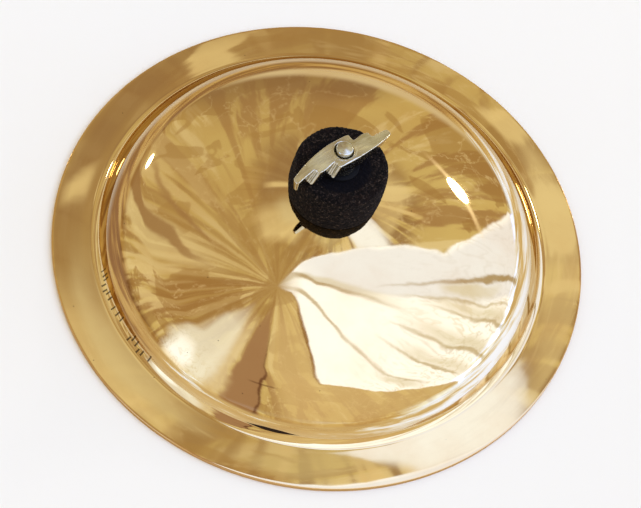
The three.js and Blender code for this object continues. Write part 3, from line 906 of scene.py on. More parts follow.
class AddSleeveAndWashers(bpy.types.Operator):
    """Turn the nylon sleeve, the pressed cup washer and the flat washer under the wing nut"""

    bl_idname = "bell_cymbal.add_sleeve_and_washers"
    bl_label = "Sleeve and washers"

    def execute(self, context):
        sizes = context.scene.clamp_sizes
        bore = sizes.rod_diameter / 2 + SEAT_GAP
        zinc = zinc_material(sizes)
        quarter = math.pi / 2

        low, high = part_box("rod_sleeve")
        pen = SectionPen(bore, low.z + 0.3 * MM)
        pen.corner(bore, low.z, 0.3 * MM, -quarter, 3)
        pen.corner(high.x, low.z, 0.4 * MM, -quarter, 4)
        pen.corner(high.x, low.z + 1.5 * MM, 0.4 * MM, -quarter, 4)
        pen.corner(SLEEVE_RADIUS, low.z + 1.5 * MM, 0.3 * MM, quarter, 4)
        pen.corner(SLEEVE_RADIUS, high.z, 0.35 * MM, -quarter, 4)
        pen.corner(bore, high.z, 0.3 * MM, -quarter, 4)
        pen.close()
        finish_piece(
            "nylon_sleeve", pen.turned(96), [nylon_material(sizes)], "rod_sleeve", "spindle")

        low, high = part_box("nut_washer")
        pen = SectionPen(bore, low.z + 0.2 * MM)
        for x, z in ((bore, low.z), (high.x, low.z), (high.x, high.z), (bore, high.z)):
            pen.corner(x, z, 0.2 * MM, -quarter, 4)
        pen.close()
        # The washer is near black as painted shade, for the wing nut's shadow on the felt
        finish_piece(
            "flat_washer", pen.turned(128), [shadow_black_nylon_material(sizes)], "nut_washer",
            "nut_rider")

        low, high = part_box("cup_washer")
        wall = 1.2 * MM
        pen = SectionPen(bore, low.z + 0.2 * MM)
        pen.corner(bore, low.z, 0.2 * MM, -quarter, 3)
        pen.corner(high.x, low.z, 1.6 * MM, -quarter, 8)
        pen.corner(high.x, high.z, 0.35 * MM, -quarter, 5)
        pen.corner(high.x - wall, high.z, 0.35 * MM, -quarter, 5)
        pen.corner(high.x - wall, low.z + wall, 0.8 * MM, quarter, 6)
        pen.corner(bore, low.z + wall, 0.2 * MM, -quarter, 3)
        pen.close()
        finish_piece(
            "pressed_cup", pen.turned(160), [zinc], "cup_washer", "post")
        return {"FINISHED"}


class AddRodAndNuts(bpy.types.Operator):
    """Cut the thread of the rod, and make the lock nut and the coupler with threaded bores"""

    bl_idname = "bell_cymbal.add_rod_and_nuts"
    bl_label = "Rod and nuts"

    def execute(self, context):
        sizes = context.scene.clamp_sizes
        zinc = zinc_material(sizes)
        radius = sizes.rod_diameter / 2
        tip = sizes.tip_diameter / 2
        pitch = sizes.thread_pitch
        root = radius - 0.56 * pitch

        low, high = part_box("threaded_rod")
        blank = SectionPen(0, low.z)
        blank.lines(
            (radius - 0.9 * MM, low.z),
            (radius + 0.01 * MM, low.z + 0.91 * MM),
            (radius + 0.01 * MM, high.z - sizes.tip_length - 0.41 * MM))
        # The plain end has a well rounded edge and a slightly domed face
        soft = 0.6 * MM
        dome = 0.35 * MM
        face = tip - soft
        dome_radius = (face ** 2 + dome ** 2) / (2 * dome)
        blank.line(tip, high.z - sizes.tip_length)
        blank.line(tip, high.z - dome - soft, 4)
        blank.arc((face, high.z - dome - soft), -math.pi / 2, 8)
        blank.arc((0, high.z - dome_radius), -math.asin(face / dome_radius), 8)
        blank.tip.co.x = 0
        bar = threaded_bar(radius, root, pitch, low.z - 0.5 * MM, high.z - sizes.tip_length + 0.1 * MM)
        plain = SectionPen(0, high.z - sizes.tip_length - 1.2 * MM)
        plain.lines(
            (tip, high.z - sizes.tip_length - 0.2 * MM), (tip, high.z + 0.5 * MM), (0, high.z + 0.5 * MM))
        bar = with_modifier(bar, "BOOLEAN", plain.turned(72), operation="UNION", solver="EXACT")
        rod = with_modifier(bar, "BOOLEAN", blank.turned(72), operation="INTERSECT", solver="EXACT")
        finish_piece("cut_thread_rod", rod, [zinc], "threaded_rod", "post", sharp=40)

        for name, node, mouth in (
                ("jam_nut", "lock_nut", 0.25 * MM), ("hex_sleeve_nut", "hex_coupler", 0.6 * MM)):
            low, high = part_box(node)
            nut = cut_bore(
                hexagon(sizes.hex_size, low.z, high.z), low.z, high.z,
                (radius + SEAT_GAP, radius - 0.02 * MM, pitch),
                (radius + SEAT_GAP + mouth + 0.2 * MM, 0.2 * MM, radius - 0.3 * MM, mouth + 0.6 * MM), 56)
            finish_piece(name, nut, [zinc], node, "post", sharp=28)
        return {"FINISHED"}


def hexagon(across, bottom, top):
    """A hexagon bar whose corners are turned down to a cone at both ends."""
    corner = across / 2 / math.cos(math.pi / 6)
    bar = bmesh.new()
    bmesh.ops.create_cone(
        bar, cap_ends=True, segments=6, radius1=corner, radius2=corner, depth=top - bottom)
    turn = Matrix.Translation((0, 0, (top + bottom) / 2))
    bmesh.ops.transform(bar, matrix=turn, verts=bar.verts)
    reach = corner + 1 * MM
    fall = (reach - across / 2) * math.tan(math.radians(30))
    cone = SectionPen(0, bottom - 0.001 * MM)
    cone.lines(
        (across / 2, bottom - 0.001 * MM), (reach, bottom + fall), (reach, top - fall),
        (across / 2, top + 0.001 * MM), (0, top + 0.001 * MM))
    return with_modifier(bar, "BOOLEAN", cone.turned(96), operation="INTERSECT", solver="EXACT")


# The stepped edge of one wing from its tip inwards: shares of the half span and the half width,
# and the share of the half width that rounds each corner
WING_STEPS = (
    (1.0, -0.28, 0.2),
    (1.0, 0.25, 0.22),
    (0.617, 0.08, 0.05),
    (0.612, 0.5, 0.2),
    (0.48, 0.56, 0.2),
    (0.266, 0.38, 0.05),
    (0.262, 0.9, 0.36),
)


def wing_outline(sizes):
    """Both wings seen from above, as one face: a long arc and a stepped edge on each."""
    half_span = sizes.span / 2
    half_width = sizes.width / 2
    radius = sizes.wing_radius
    start, end = -0.24 * half_span, 0.965 * half_span
    shape = bmesh.new()
    first = shape.verts.new((start, radius - math.sqrt(radius ** 2 - start ** 2) - half_width, 0))
    made = bmesh.ops.spin(
        shape, geom=[first], cent=(0, radius - half_width, 0), axis=(0, 0, 1),
        angle=math.asin(end / radius) - math.asin(start / radius), steps=30)
    last = made["geom_last"][0]
    corners = []
    for along, across, rounding in WING_STEPS:
        vert = bmesh.ops.extrude_vert_indiv(shape, verts=[last])["verts"][0]
        vert.co = (along * half_span, across * half_width, 0)
        corners.append((vert, rounding * half_width))
        last = vert
    other = bmesh.ops.duplicate(shape, geom=shape.verts[:] + shape.edges[:])
    twins = [part for part in other["geom"] if isinstance(part, bmesh.types.BMVert)]
    bmesh.ops.rotate(shape, verts=twins, cent=(0, 0, 0), matrix=Matrix.Rotation(math.pi, 3, "Z"))
    twin_of = other["vert_map"]
    shape.edges.new((last, twin_of[first]))
    shape.edges.new((twin_of[last], first))
    for vert, rounding in corners + [(twin_of[vert], rounding) for vert, rounding in corners]:
        bmesh.ops.bevel(
            shape, geom=[vert], offset=rounding, offset_type="OFFSET", segments=4, profile=0.5,
            affect="VERTICES", material=-1)
    bmesh.ops.edgenet_fill(shape, edges=shape.edges)
    return shape


def flute_step_ends(shape, sizes):
    """Press three upright flutes into the end face of every step."""
    half_span = sizes.span / 2
    half_width = sizes.width / 2
    for vert in shape.verts:
        side = math.copysign(1, vert.co.x)
        along, across = vert.co.x * side / half_span, vert.co.y * side / half_width
        for (end, low), (_, high) in ((WING_STEPS[2][:2], WING_STEPS[3][:2]),
                                      (WING_STEPS[5][:2], WING_STEPS[6][:2])):
            if abs(along - end) < 0.03 and low + 0.08 < across < high - 0.12:
                share = (across - low) / (high - low)
                vert.co.x -= side * 0.4 * MM * (1 - math.cos(share * 3 * FULL_TURN)) / 2


class AddWingNut(bpy.types.Operator):
    """Draw the wings from above, draft and droop them, and cast them onto the hub"""

    bl_idname = "bell_cymbal.add_wing_nut"
    bl_label = "Wing nut"

    def execute(self, context):
        sizes = context.scene.clamp_sizes
        low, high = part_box("wing_nut")
        thickness = sizes.wing_thickness
        edge = 0.75 * MM
        bore = sizes.rod_diameter / 2 + SEAT_GAP

        wings = wing_outline(sizes)
        outline = wings.edges[:]
        bmesh.ops.subdivide_edges(
            wings, edges=[side for side in outline if side.calc_length() > 0.5 * MM], cuts=7,
            use_grid_fill=False)
        block = bmesh.ops.extrude_face_region(wings, geom=wings.faces[:])
        raised = [part for part in block["geom"] if isinstance(part, bmesh.types.BMVert)]
        bmesh.ops.translate(wings, verts=raised, vec=(0, 0, thickness))
        bmesh.ops.recalc_face_normals(wings, faces=wings.faces)
        flute_step_ends(wings, sizes)
        rims = [
            side for side in wings.edges
            if len(side.link_faces) == 2 and side.calc_face_angle() > 1.4
            and abs(side.verts[0].co.z - side.verts[1].co.z) < 0.001 * MM]
        bmesh.ops.bevel(
            wings, geom=rims, offset=edge, offset_type="OFFSET", segments=3, profile=0.5,
            affect="EDGES", material=-1, clamp_overlap=True)
        for cut in range(-24, 25):
            bmesh.ops.bisect_plane(
                wings, geom=wings.verts[:] + wings.edges[:] + wings.faces[:], dist=1e-8,
                plane_co=(cut * MM, 0, 0), plane_no=(1, 0, 0))
        # The draft lets each step leave the die, and the arch and the taper thin the tips
        half_span = sizes.span / 2
        radius = sizes.wing_radius
        for vert in wings.verts:
            along = vert.co.x
            depth = thickness - vert.co.z
            out = min(abs(along) / half_span, 1)
            # The long edge leans inwards going down
            reach = -vert.co.y * math.copysign(1, along)
            if reach > 0:
                lean = depth * (0.31 - 0.12 * out) * within_one((abs(along) - 4 * MM) / (6 * MM))
                vert.co.y += lean * min(reach / (1.5 * MM), 1) * math.copysign(1, along)
            vert.co.x += math.copysign(math.tan(math.radians(28)) * depth * math.sin(math.pi * out), along)
            droop = radius - math.sqrt(radius ** 2 - along ** 2)
            vert.co.z = high.z - droop - depth * (1 - 0.24 * out ** 2)

        hub = SectionPen(0, low.z)
        hub.corner(6.2 * MM, low.z, 0.3 * MM, -math.pi / 2, 4)
        hub.lines(
            (6.2 * MM, low.z + 0.55 * MM), (5.65 * MM, high.z - thickness / 2),
            (5.3 * MM, high.z - 0.45 * MM), (5.2 * MM, high.z - 0.12 * MM), (5.0 * MM, high.z), (0, high.z))
        hub_shape = hub.turned(96)
        joined = bpy.data.meshes.new("hub")
        hub_shape.to_mesh(joined)
        hub_shape.free()
        wings.from_mesh(joined)
        bpy.data.meshes.remove(joined)
        casting = with_modifier(wings, "REMESH", mode="VOXEL", voxel_size=0.2 * MM, adaptivity=0.0)
        for _ in range(2):
            bmesh.ops.smooth_vert(
                casting, verts=casting.verts, factor=0.5, use_axis_x=True, use_axis_y=True, use_axis_z=True)

        # The bore, its thread, and the mouths at both ends
        casting = cut_bore(
            casting, low.z, high.z, (bore, bore - 0.22 * MM, sizes.thread_pitch),
            (bore + 0.6 * MM, 0.3 * MM, bore - 0.2 * MM, 0.5 * MM), 64)
        # How sharply the surface turns outwards, on the upper half, is where the plate is rubbed bright and a
        # painted highlight lightens the edges
        wear_and_highlight_layer = casting.verts.layers.float.new("wear")
        casting.normal_update()
        for vert in casting.verts:
            turn = sum(
                vert.normal.dot((vert.co - side.other_vert(vert).co).normalized())
                for side in vert.link_edges) / max(len(vert.link_edges), 1)
            upper = within_one((vert.co.z - low.z - 3.5 * MM) / (2 * MM))
            vert[wear_and_highlight_layer] = upper * within_one((turn - 0.06) / 0.16)
        bmesh.ops.rotate(
            casting, verts=casting.verts, cent=(0, 0, 0), matrix=Matrix.Rotation(sizes.direction, 3, "Z"))
        finish_piece(
            "cast_wing_nut", casting, [nickel_material(sizes)], "wing_nut",
            "nut", sharp=50)
        return {"FINISHED"}


# The tent as the bell sees it: patches of light and shade on its cloth. Each has a colour, a
# strength, the softness of its sides, and rows from its top down. A row is an angle below the
# tent's top, where the patch starts and ends round the bell, all in degrees, and how much it
# covers. The first ones are the folds and shades, and the last ones the gaps that let light in.
TENT_PATCHES = (
    ("shaded_top", "#d0bd90", 0.88, 14, (
        (0, 60, 178, 0), (12, 60, 178, 0.4), (40, 66, 178, 0.45), (66, 66, 178, 0.3), (90, 70, 178, 0.2))),
    ("light_near_side", "#f0ead2", 1.12, 9, (
        (0, -84, -20, 0), (14, -84, -20, 0.5), (40, -84, -20, 0.65), (60, -86, -10, 0.6),
        (90, -88, 0, 0.5))),
    ("light_by_fold", "#f2f3e2", 1.05, 2.0, (
        (14, 160, 176, 0), (30, 160, 176, 0.5), (60, 152, 166, 0.6), (76, 148, 160, 0.7),
        (90, 146, 156, 0.5))),
    ("slanting_fold", "#b09679", 0.95, 0.9, (
        (20, 170, 174, 0), (30, 166, 170, 0.7), (40, 158, 163, 0.9), (60, 151, 157, 0.95),
        (75, 147, 154, 0.95), (90, 142, 151, 0.9))),
    ("second_fold", "#b3987a", 0.95, 0.8, (
        (22, 158, 160, 0), (32, 152, 154, 0.8), (50, 145, 147, 0.8), (62, 140, 142, 0.6),
        (70, 139, 141, 0))),
    ("far_shade", "#96807a", 0.8, 5, (
        (60, 96, 118, 0), (74, 92, 122, 0.25), (82, 88, 124, 0.5), (90, 86, 126, 0.6))),
    ("brim_shade", "#b29c7c", 0.95, 5, (
        (22, 96, 116, 0), (28, 90, 116, 0.8), (42, 82, 112, 0.7), (54, 80, 108, 0.5), (62, 84, 104, 0))),
    ("light_over_brim", "#f3f0d6", 1.1, 7, (
        (14, 84, 120, 0), (18, 84, 120, 0.7), (25, 86, 118, 0.5), (30, 86, 116, 0))),
    ("light_right_of_brim", "#f1efd8", 1.05, 2, (
        (37, 45, 72, 0), (41, 46, 68, 0.55), (52, 56, 68, 0.6), (58, 56, 66, 0))),
    ("wedge", "#b39887", 1.0, 1.3, (
        (6, -97, -92, 0), (10, -98, -91, 0.7), (15, -104, -87, 0.9), (22, -106, -86, 1), (32, -107, -88, 1),
        (45, -108, -91, 1), (60, -109, -93, 1), (90, -113, -96, 1))),
    ("wedge_seam", "#7a5648", 0.85, 0.5, (
        (10, -86, -85.4, 0), (18, -86.5, -85.2, 0.6), (33, -88.8, -87.6, 0.8), (43, -92.6, -91, 0.9),
        (60, -94, -92.8, 0.9), (75, -96.5, -95.2, 0.9), (90, -100, -98, 0.7))),
    ("wedge_pucker", "#6b4638", 0.85, 3, (
        (45.0, -99, -85, 0), (46.2, -99, -85, 0.75), (47.4, -99, -85, 0))),
    ("light_beside_wedge", "#eff0ee", 1.1, 3, (
        (10, -122, -106, 0), (20, -122, -108, 0.8), (60, -124, -110, 0.8), (90, -126, -112, 0.8))),
    ("gap_left", "#c8daff", 1.95, 4, (
        (8, -132, -125, 0), (18, -141, -117, 0.65), (35, -144, -116, 0.75), (52, -145, -116, 0.85),
        (64, -143, -118, 0.95), (90, -142, -122, 0.95))),
    ("gap_left_bright", "#b8ccff", 2.9, 2.5, (
        (40, -141, -133, 0), (50, -141, -131, 0.7), (60, -141, -128, 1), (90, -139, -130, 1))),
    ("light_on_near_brim", "#fbfde4", 0.82, 4, (
        (18, 50, 68, 0), (21, 50, 68, 0.5), (29, 52, 68, 0.5), (33, 52, 66, 0))),
    ("light_on_left_brim", "#fbfff0", 0.9, 5, (
        (20, 78, 98, 0), (23, 78, 100, 0.5), (28, 80, 104, 0.5), (33, 84, 100, 0))),
    ("gap_over_brim", "#b8ccff", 2.5, 2.5, (
        (27.6, 42, 50, 0), (28.8, 42, 64, 0.9), (30.5, 42, 70, 1), (35.4, 40, 70, 1), (37.4, 38, 65, 0.9),
        (39.2, 36, 48, 0.3), (40.6, 36, 44, 0))),
)

# Patches with firmer lines: a few that the brim mirrors, and then the wide gap on the right with
# the thin cloth, folds and creases that hang in it
FIRM_PATCHES = (
    ("dark_on_brim", "#a58b74", 0.9, 3, (
        (30, 98, 114, 0), (35, 97, 112, 0.45), (43, 94, 106, 0.55), (50, 97, 104, 0.4), (60, 98, 106, 0))),
    ("light_on_far_brim", "#f2eed2", 1.12, 0.5, (
        (41.5, 86, 90, 0), (42.4, 87, 92, 0.65), (47, 92, 96.5, 0.7), (51, 93, 97.5, 0.5),
        (56, 94, 97, 0))),
    ("streak_on_left_brim", "#f2eed2", 1.12, 3, (
        (34.6, 97, 109, 0), (35.2, 97, 109, 0.75), (36.2, 97, 109, 0.75), (37.2, 97, 109, 0))),
    ("tongue_on_right_brim", "#f0eed8", 1.08, 0.4, (
        (42.8, 64, 67, 0), (43.5, 63, 67.6, 0.85), (47, 58.7, 66.5, 0.85), (51.6, 56.9, 63.5, 0.85),
        (54.5, 57, 61.8, 0.7), (57, 57, 61, 0))),
    ("light_on_far_right_brim", "#f2eed2", 1.1, 0.5, (
        (47.3, 69, 72, 0), (49, 69.5, 73, 0.75), (56, 67, 71, 0.75), (59, 67, 70, 0))),
    ("gap_right", "#b8ccff", 3.0, 0.6, (
        (0, -20, 60, 0), (4.5, -10, 60, 0.7), (8, -26, 61, 1), (11, -38, 60, 1), (15, -44.5, 54, 1),
        (22, -49.5, 46, 1), (30, -53, 42, 1), (38.3, -55.7, 39.5, 1), (39.5, -52, 39, 1),
        (45, -44.5, 38, 1), (52, -40, 35.5, 1), (56, -37.5, 34.6, 1), (62, -33, 37.8, 1),
        (72, -24.5, 41.2, 1), (82, -19, 45.5, 1), (90, -14, 48, 1))),
    ("thin_cloth", "#b0c4ff", 2.35, 1.5, (
        (6, 44, 58, 0), (10, 30, 59, 0.6), (15, 16, 53, 0.75), (22, 11.5, 45, 0.75), (36, 13, 39, 0.75),
        (56, 17.5, 34, 0.75), (72, 21, 40.5, 0.75), (90, 22.5, 47, 0.75))),
    ("first_shade", "#e2eeff", 1.2, 2.5, (
        (6, 36, 60, 0.3), (12, 19, 30, 0.7), (20, 11, 19, 0.65), (30, 8, 14, 0.5), (44, 7, 12, 0))),
    ("upper_shade", "#e2eeff", 1.2, 2.5, (
        (46, 14, 17, 0), (56, 14, 17.5, 0.6), (72, 14, 18.5, 0.75), (90, 12, 18, 0.7))),
    ("short_folds", "#e2eeff", 1.2, 1.2, (
        (51, 20, 22, 0), (56, 19.6, 22.6, 0.75), (64, 20, 24.5, 0.8), (72, 22, 26, 0.5), (82, 24, 27, 0))),
    ("middle_shade", "#e2eeff", 1.2, 2.5, (
        (38, 1, 5, 0), (54, 1.5, 6.5, 0.65), (73, 0, 6, 0.75), (90, -1, 5, 0.7))),
    ("lower_shade", "#e2eeff", 1.2, 2.5, (
        (40, -10, -6, 0), (50, -9, -4.5, 0.6), (65, -11, -6, 0.7), (90, -11, -6.5, 0.6))),
    ("last_shade", "#e2eeff", 1.2, 2.0, (
        (40, -28, -23, 0), (50, -29, -23.5, 0.65), (64, -27, -22.5, 0.6), (76, -24, -21, 0))),
    ("first_crease", "#cabd9e", 0.9, 1.0, (
        (6, 42, 62, 0.5), (8, 35, 47, 0.9), (12, 16, 22.5, 0.85), (20, 10, 13, 0.7), (30, 8, 10, 0.5),
        (37, 7.4, 8.6, 0.3), (44, 7, 8, 0))),
    ("second_crease", "#d6cfb8", 0.9, 0.8, (
        (5, -2, 12, 0.4), (7, -3, 8, 0.8), (10.8, -10, -4, 0.85), (17.7, -20.5, -17.5, 0.8),
        (26, -24.8, -22.8, 0.65), (39, -23.6, -22.4, 0.6), (49, -23.4, -22.5, 0.75), (58, -24, -23, 0.8),
        (64, -22.4, -21.6, 0.7), (76, -20.6, -19.8, 0))),
    ("cloth_hem", "#cbbd98", 0.85, 0.5, (
        (30, 16.5, 17.5, 0), (40, 19.3, 20.3, 0.5), (50, 21.9, 23, 0.6), (62, 24.1, 25.8, 0.85),
        (68, 26.4, 28.3, 0.9), (80, 27.8, 30, 0.95), (90, 27.5, 29.5, 0.9))),
    ("upper_line", "#dcd9c8", 0.9, 0.5, (
        (34, 12.6, 13.6, 0), (45, 15, 16, 0.4), (56, 17.2, 18.2, 0.6), (68, 18.6, 19.8, 0.7),
        (80, 19.5, 20.8, 0.6), (90, 19.2, 20.4, 0.6))),
    ("bent_line", "#dcd9c8", 0.9, 0.5, (
        (44, 12.2, 13, 0), (55, 12.9, 14, 0.5), (71, 13, 14.5, 0.8), (90, 11, 12.8, 0.8))),
    ("middle_line", "#dcd9c8", 0.9, 0.5, (
        (36, -0.5, 0.5, 0), (41, -0.4, 0.8, 0.5), (54, 0.3, 1.7, 0.75), (73, -1.2, 0.6, 0.8),
        (90, -1.8, -0.2, 0.8))),
    ("lower_line", "#dcd9c8", 0.9, 0.5, (
        (33, -11, -10, 0), (43, -10.6, -9.4, 0.6), (50, -10.2, -8.8, 0.8), (65, -12.8, -11, 0.8),
        (80, -12.4, -11, 0.7), (90, -12, -11, 0))),
    ("gap_edge", "#a58253", 0.9, 0.5, (
        (5, -20, -8, 0), (11, -43, -36, 0.8), (15, -48, -44, 0.95), (22, -51.5, -49, 0.9),
        (30, -54.5, -52.8, 0.8), (38, -57, -55.6, 0.6), (40, -57, -55.6, 0))),
    ("lamp_flare", "#f6f2ea", 1.8, 6, (
        (71.6, 43, 63, 0), (72.2, 43, 63, 0.7), (72.9, 43, 63, 0.7), (73.6, 43, 63, 0))),
)


def tent_world(sizes):
    """The light tent: pale cloth that hangs in folds, with gaps where the light comes straight in."""
    world = bpy.data.worlds.new("light_tent")
    world.use_nodes = True
    tree = world.node_tree
    tree.nodes.clear()
    direction = add_node(tree, "ShaderNodeTexCoord").outputs["Generated"]
    height = add_node(tree, "ShaderNodeSeparateXYZ", links={"Vector": direction}).outputs["Z"]
    tilted = add_node(
        tree, "ShaderNodeMapping", {"Rotation": (math.radians(-4.5), math.radians(9.5), 0)},
        {"Vector": direction})
    parts, level, reach = around_axis(tree, tilted)
    polar = add_node(tree, "ShaderNodeMath", {"operation": "ARCTAN2"}, {0: reach, 1: parts.outputs["Z"]})
    polar = add_node(tree, "ShaderNodeMath", {"operation": "MULTIPLY", 1: math.degrees(1)}, {0: polar})
    polar_share = add_node(tree, "ShaderNodeMath", {"operation": "DIVIDE", 1: 90}, {0: polar})
    around = add_node(tree, "ShaderNodeVectorMath", {"operation": "NORMALIZE"}, {0: level})
    # Places on the cloth that change quickly round the tent and slowly down it, so that what is
    # drawn with them runs in long folds from the top
    hang = add_node(tree, "ShaderNodeCombineXYZ", links={"Z": polar_share})
    broad_place, long_place, crease_place = (
        add_node(
            tree, "ShaderNodeVectorMath", {"operation": "MULTIPLY_ADD", 1: (0, 0, drop)},
            {0: hang, 2: around})
        for drop in (0.9, 0.16, 0.5))
    # The edges of the patches stray by a few degrees, and those of the firmer ones by one at most
    strayed = []
    headings = []
    for scale, roughness, stray in ((4.0, 0.55, 0.08), (11.0, 0.6, 0.035)):
        wobble = add_node(
            tree, "ShaderNodeTexNoise", {"Scale": scale, "Detail": 4, "Roughness": roughness},
            {"Vector": broad_place})
        shift = add_node(
            tree, "ShaderNodeVectorMath",
            {"operation": "MULTIPLY_ADD", 1: (2 * stray, 2 * stray, 0), 2: (-stray, -stray, 0)},
            {0: wobble.outputs["Color"]})
        moved = add_node(tree, "ShaderNodeVectorMath", {"operation": "ADD"}, {0: around, 1: shift})
        moved = add_node(tree, "ShaderNodeSeparateXYZ", links={"Vector": moved})
        strayed.append(moved)
        bearing = add_node(
            tree, "ShaderNodeMath", {"operation": "ARCTAN2"},
            {0: moved.outputs["Y"], 1: moved.outputs["X"]})
        headings.append(add_node(
            tree, "ShaderNodeMath", {"operation": "MULTIPLY_ADD", 1: 0.5 / math.pi, 2: 0.5}, {0: bearing}))
    # The cloth is gathered a second time where the brim mirrors it, so folds run out from there
    second = add_node(
        tree, "ShaderNodeMapping", {"Rotation": (math.radians(34), math.radians(-8), 0)},
        {"Vector": tilted})
    second_parts = add_node(tree, "ShaderNodeSeparateXYZ", links={"Vector": second})
    second_level = add_node(
        tree, "ShaderNodeCombineXYZ",
        links={"X": second_parts.outputs["X"], "Y": second_parts.outputs["Y"]})
    second_around = add_node(tree, "ShaderNodeVectorMath", {"operation": "NORMALIZE"}, {0: second_level})
    pattern = {}
    for name, source, scale, detail, roughness, distortion in (
            ("shades", broad_place, 2.6, 2, 0.5, 0),
            # Long folds some 5 degrees apart, and pleats close together and evenly spaced
            ("folds", long_place, 7.5, 5, 0.62, 0.35),
            ("pleats", long_place, 16, 1, 0.4, 0.2),
            ("second folds", second_around, 4.6, 5, 0.65, 0),
            # Blotches with firmer edges, where one sheet of the tent hangs over another
            ("blotches", tilted, 3.2, 3, 0.45, 0.9),
            # Crumples draw a net of thin bright ridges, and creases thin lines in the gaps
            ("crumples", broad_place, 5.5, 4, 0.6, 0.4),
            ("creases", crease_place, 9, 3, 0.55, 0.5)):
        pattern[name] = add_node(
            tree, "ShaderNodeTexNoise",
            {"Scale": scale, "Detail": detail, "Roughness": roughness, "Distortion": distortion},
            {"Vector": source})
    off_ridge = add_node(
        tree, "ShaderNodeMath", {"operation": "SUBTRACT", 1: 0.52}, {0: pattern["crumples"]})
    off_ridge = add_node(tree, "ShaderNodeMath", {"operation": "ABSOLUTE"}, {0: off_ridge})
    off_crease = add_node(
        tree, "ShaderNodeMath", {"operation": "PINGPONG", 1: 0.07}, {0: pattern["creases"]})
    share = {}
    for name, source, start, end, most in (
            ("soft shade", pattern["shades"], 0.35, 0.7, 0.35),
            ("fold shade", pattern["folds"], 0.5, 0.43, 0.9),
            ("fold light", pattern["folds"], 0.56, 0.61, 0.75),
            ("left", strayed[0].outputs["X"], -0.55, -0.85, 1),
            ("pleat shade", pattern["pleats"], 0.5, 0.4, 0.75),
            ("pleat light", pattern["pleats"], 0.5, 0.58, 0.7),
            ("second gather", second_parts.outputs["Z"], 0.87, 0.93, 1),
            ("second shade", pattern["second folds"], 0.5, 0.46, 0.85),
            ("second light", pattern["second folds"], 0.55, 0.57, 0.85),
            ("overlap", pattern["blotches"], 0.522, 0.536, 0.6),
            ("ridge", off_ridge, 0.012, 0.0, 0.5),
            ("crease", off_crease, 0.024, 0.004, 1),
            ("low down", polar_share, 0.25, 0.8, 0.42),
            ("near floor", height, 0.1, 0.03, 1)):
        share[name] = add_node(
            tree, "ShaderNodeMapRange",
            {"interpolation_type": "SMOOTHSTEP", "From Min": start, "From Max": end, "To Max": most},
            {"Value": source})
    for name, where in (
            ("pleat shade", "left"), ("pleat light", "left"), ("second shade", "second gather"),
            ("second light", "second gather"), ("crease", "low down")):
        share[name] = add_node(
            tree, "ShaderNodeMath", {"operation": "MULTIPLY"}, {0: share[name], 1: share[where]})
    shade = add_node(
        tree, "ShaderNodeMath", {"operation": "ADD", "use_clamp": True},
        {0: share["soft shade"], 1: share["fold shade"]})
    colour = add_node(tree, "ShaderNodeMix", {"data_type": "RGBA", 6: sizes.cloth, 7: sizes.fold}, {0: shade})
    for name, code, strength in (
            ("fold light", "#eeeedd", 1.1),
            ("pleat shade", "#b39b77", 1),
            ("pleat light", "#f4f1dc", 1),
            ("second shade", "#a58a70", 0.92),
            ("second light", "#f3ecd0", 1.05),
            ("overlap", "#b09468", 1),
            ("ridge", "#f2efe0", 1.1)):
        colour = add_node(
            tree, "ShaderNodeMix", {"data_type": "RGBA", 7: lit(code, strength)},
            {0: share[name], 6: colour})
    past_creases = add_node(
        tree, "ShaderNodeMath", {"operation": "SUBTRACT", 0: 1.0}, {1: share["crease"]})
    patches = [(headings[0], patch) for patch in TENT_PATCHES]
    patches += [(headings[1], patch) for patch in FIRM_PATCHES]
    for heading, (name, code, strength, soft, rows) in patches:
        sides = add_node(
            tree, "ShaderNodeValToRGB",
            {"stops": [(down / 90, ((first + 180) / 360, (last + 180) / 360, cover, 1))
                       for down, first, last, cover in rows],
             "label": name},
            {"Fac": polar_share})
        edges = add_node(tree, "ShaderNodeSeparateColor", links={"Color": sides})
        past_first = add_node(
            tree, "ShaderNodeMath", {"operation": "SUBTRACT"}, {0: heading, 1: edges.outputs["Red"]})
        before_last = add_node(
            tree, "ShaderNodeMath", {"operation": "SUBTRACT"}, {0: edges.outputs["Green"], 1: heading})
        depth = add_node(tree, "ShaderNodeMath", {"operation": "MINIMUM"}, {0: past_first, 1: before_last})
        cover = add_node(
            tree, "ShaderNodeMapRange",
            {"interpolation_type": "SMOOTHSTEP", "From Min": -soft / 360, "From Max": soft / 360},
            {"Value": depth})
        limits = [edges.outputs["Blue"]]
        if name.startswith("gap"):
            limits.append(past_creases)
        for limit in limits:
            cover = add_node(tree, "ShaderNodeMath", {"operation": "MULTIPLY"}, {0: cover, 1: limit})
        colour = add_node(
            tree, "ShaderNodeMix", {"data_type": "RGBA", 7: lit(code, strength)}, {0: cover, 6: colour})
    # Near the floor the tent is plain and as pale as the floor itself
    colour = add_node(
        tree, "ShaderNodeMix", {"data_type": "RGBA", 7: from_hex("#e9e9e9")},
        {0: share["near floor"], 6: colour})
    light = add_node(tree, "ShaderNodeBackground", {"Strength": 1.13}, {"Color": colour})
    add_node(tree, "ShaderNodeOutputWorld", links={"Surface": light})
    bpy.context.scene.world = world


def paper_material(sizes):
    """Pale background paper, matt and even."""
    material, tree, place = new_material("background_paper")
    fibre = add_node(tree, "ShaderNodeTexNoise", {"Scale": 900, "Detail": 2}, {"Vector": place})
    bump = add_node(tree, "ShaderNodeBump", {"Strength": 0.05, "Distance": 0.05 * MM}, {"Height": fibre})
    return finish_material(
        material, {"Base Color": sizes.floor, "Roughness": 0.9, "Specular IOR Level": 0.1},
        {"Normal": bump})


